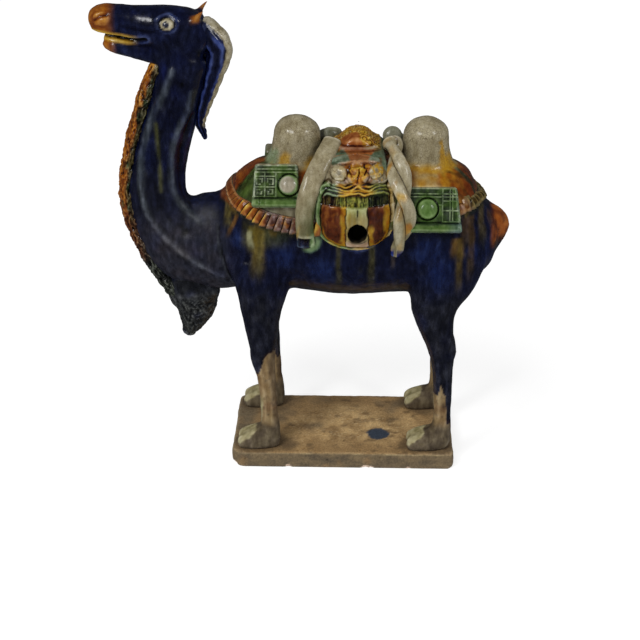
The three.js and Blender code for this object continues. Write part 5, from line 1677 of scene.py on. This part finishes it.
def glaze_material():
    """Glossy lead glaze in the painted colours, with crackle on the cream, and bare clay where it stops."""
    material, nodes, shader = blank_material("glaze")
    place, bare = nodes.place(), nodes.read("bare")
    # Crackle: dark hairlines between small cells, bent a little by noise
    wobble = nodes.add("TexNoise", {"Vector": place, "Scale": 180.0, "Detail": 2.0}).outputs["Color"]
    small = nodes.add("VectorMath", {0: wobble, "Scale": 0.0035}, operation="SCALE").outputs[0]
    bent = nodes.add("VectorMath", {0: place, 1: small}, operation="ADD").outputs[0]
    hairs = nodes.add("TexVoronoi", {"Vector": bent, "Scale": 330.0}, feature="DISTANCE_TO_EDGE")
    line = nodes.math("LESS_THAN", hairs.outputs["Distance"], 0.045)
    line = nodes.math("MULTIPLY", line, nodes.read("crackle"))
    line = nodes.math("MULTIPLY", line, nodes.noise(place, 60.0), clamp=True)
    # The glaze's thickness changes along short upright streaks, and its colour deepens with it
    streaked = nodes.add("Mapping", {"Vector": place, "Scale": (1, 1, 0.4)}).outputs[0]
    depth = nodes.math("MULTIPLY_ADD", nodes.noise(streaked, 190.0, 4.0), 1.0, 0.62)
    deep = nodes.add("Gamma", {"Color": nodes.read("tint", "Color"), "Gamma": depth}).outputs[0]
    mottled = nodes.blend("MULTIPLY", 0.3, deep, nodes.grey(nodes.noise(place, 620.0, 4.0, 0.7)))
    nodes.put(shader.inputs["Base Color"], nodes.blend("MIX", line, mottled, (70, 56, 38)))
    gloss = nodes.math("MULTIPLY_ADD", nodes.noise(place, 90.0), 0.24, 0.1)
    matte = nodes.math("MULTIPLY", bare, 0.6)
    nodes.put(shader.inputs["Roughness"], nodes.math("ADD", gloss, matte, clamp=True))
    shader.inputs["IOR"].default_value = 1.5
    # The glaze's skin is a little uneven, and the clay is gritty
    wave = nodes.bump(nodes.noise(place, 140.0, 2.0, 0.5), 0.22, 0.0012)
    grit = nodes.bump(nodes.math("MULTIPLY", nodes.noise(place, 900.0, 4.0, 0.7), bare), 0.6, 0.0006)
    nodes.put(grit.inputs["Normal"], wave.outputs["Normal"])
    nodes.put(shader.inputs["Normal"], grit.outputs["Normal"])
    return material


def clay_material():
    """Unglazed fired clay in the painted colours: gritty and dull."""
    material, nodes, shader = blank_material("clay")
    place = nodes.place()
    specks = nodes.grey(nodes.math("MULTIPLY_ADD", nodes.noise(place, 420.0, 5.0, 0.85), 1.9, -0.43))
    nodes.put(shader.inputs["Base Color"], nodes.blend("MULTIPLY", 0.75, nodes.read("tint", "Color"), specks))
    nodes.put(shader.inputs["Roughness"], nodes.math("MULTIPLY_ADD", nodes.read("bare"), 0.68, 0.2))
    grit = nodes.bump(nodes.noise(place, 520.0, 5.0, 0.7), 0.7, 0.0008)
    nodes.put(shader.inputs["Normal"], grit.outputs["Normal"])
    return material


def floor_material():
    material, _, shader = blank_material("studio_floor")
    shader.inputs["Base Color"].default_value = (0.4, 0.4, 0.4, 1)
    shader.inputs["Roughness"].default_value = 0.95
    shader.inputs["Specular IOR Level"].default_value = 0.0
    shader.inputs["Emission Color"].default_value = (1, 1, 1, 1)
    shader.inputs["Emission Strength"].default_value = FLOOR_GLOW
    return material


# Camera, light and floor
def set_camera():
    """The photograph's view: 26 degrees down on the near flank, almost square to it."""
    data = bpy.data.cameras.new("view")
    data.sensor_width = 36
    data.lens = LENS
    data.clip_end = 100
    camera = placed("view", data)
    camera.location = Vector(CAMERA_PLACE) * MM
    camera.rotation_euler = (math.radians(90 - CAMERA_PITCH), 0, math.radians(CAMERA_YAW))
    bpy.context.scene.camera = camera


def add_window(name, place, size, power):
    data = bpy.data.lights.new(name, "AREA")
    data.shape = "RECTANGLE"
    data.size, data.size_y = size
    data.energy = power
    lamp = placed(name, data)
    lamp.location = place
    lamp.rotation_euler = (Vector(WINDOW_AIM) - Vector(place)).to_track_quat("-Z", "Y").to_euler()


def set_light():
    scene = bpy.context.scene
    scene.view_settings.view_transform = "Standard"
    scene.view_settings.look = "None"
    world = bpy.data.worlds.new("studio")
    world.use_nodes = True
    nodes = Nodes(world.node_tree)
    ray = nodes.add("LightPath")
    lit = nodes.math("MULTIPLY_ADD", ray.outputs["Is Glossy Ray"], GLOSS_LIGHT - WORLD_LIGHT, WORLD_LIGHT)
    background = world.node_tree.nodes["Background"]
    nodes.put(background.inputs["Strength"], nodes.math("MAXIMUM", lit, ray.outputs["Is Camera Ray"]))
    background.inputs["Color"].default_value = (1, 1, 1, 1)
    scene.world = world
    data = bpy.data.lights.new("key", "SUN")
    data.energy = SUN_LIGHT
    data.angle = math.radians(SUN_SPREAD)
    lamp = placed("key", data)
    lamp.visible_glossy = False
    lamp.rotation_euler = Vector(SUN_FROM).to_track_quat("Z", "Y").to_euler()
    for name, window in WINDOWS.items():
        add_window(name, *window)


def set_floor():
    mesh = bpy.data.meshes.new("floor")
    corners = [(x * FLOOR_REACH, y * FLOOR_REACH, 0) for x, y in ((-1, -1), (1, -1), (1, 1), (-1, 1))]
    mesh.from_pydata(corners, [], [(0, 1, 2, 3)])
    mesh.materials.append(floor_material())
    floor = placed("floor", mesh)
    floor.visible_glossy = False


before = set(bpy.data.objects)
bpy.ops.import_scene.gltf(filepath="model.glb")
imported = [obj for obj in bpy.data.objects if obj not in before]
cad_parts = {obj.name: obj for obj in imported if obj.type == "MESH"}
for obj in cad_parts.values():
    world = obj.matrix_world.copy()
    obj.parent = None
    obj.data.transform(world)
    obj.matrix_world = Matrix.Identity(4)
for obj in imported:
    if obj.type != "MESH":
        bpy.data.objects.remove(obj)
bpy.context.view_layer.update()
set_camera()
set_light()
set_floor()
GLAZE = glaze_material()
CLAY = clay_material()
camel_body()
saddle()
frills()
bags()
bundle()
boards()
skeins()
hair()
plinth_slab()
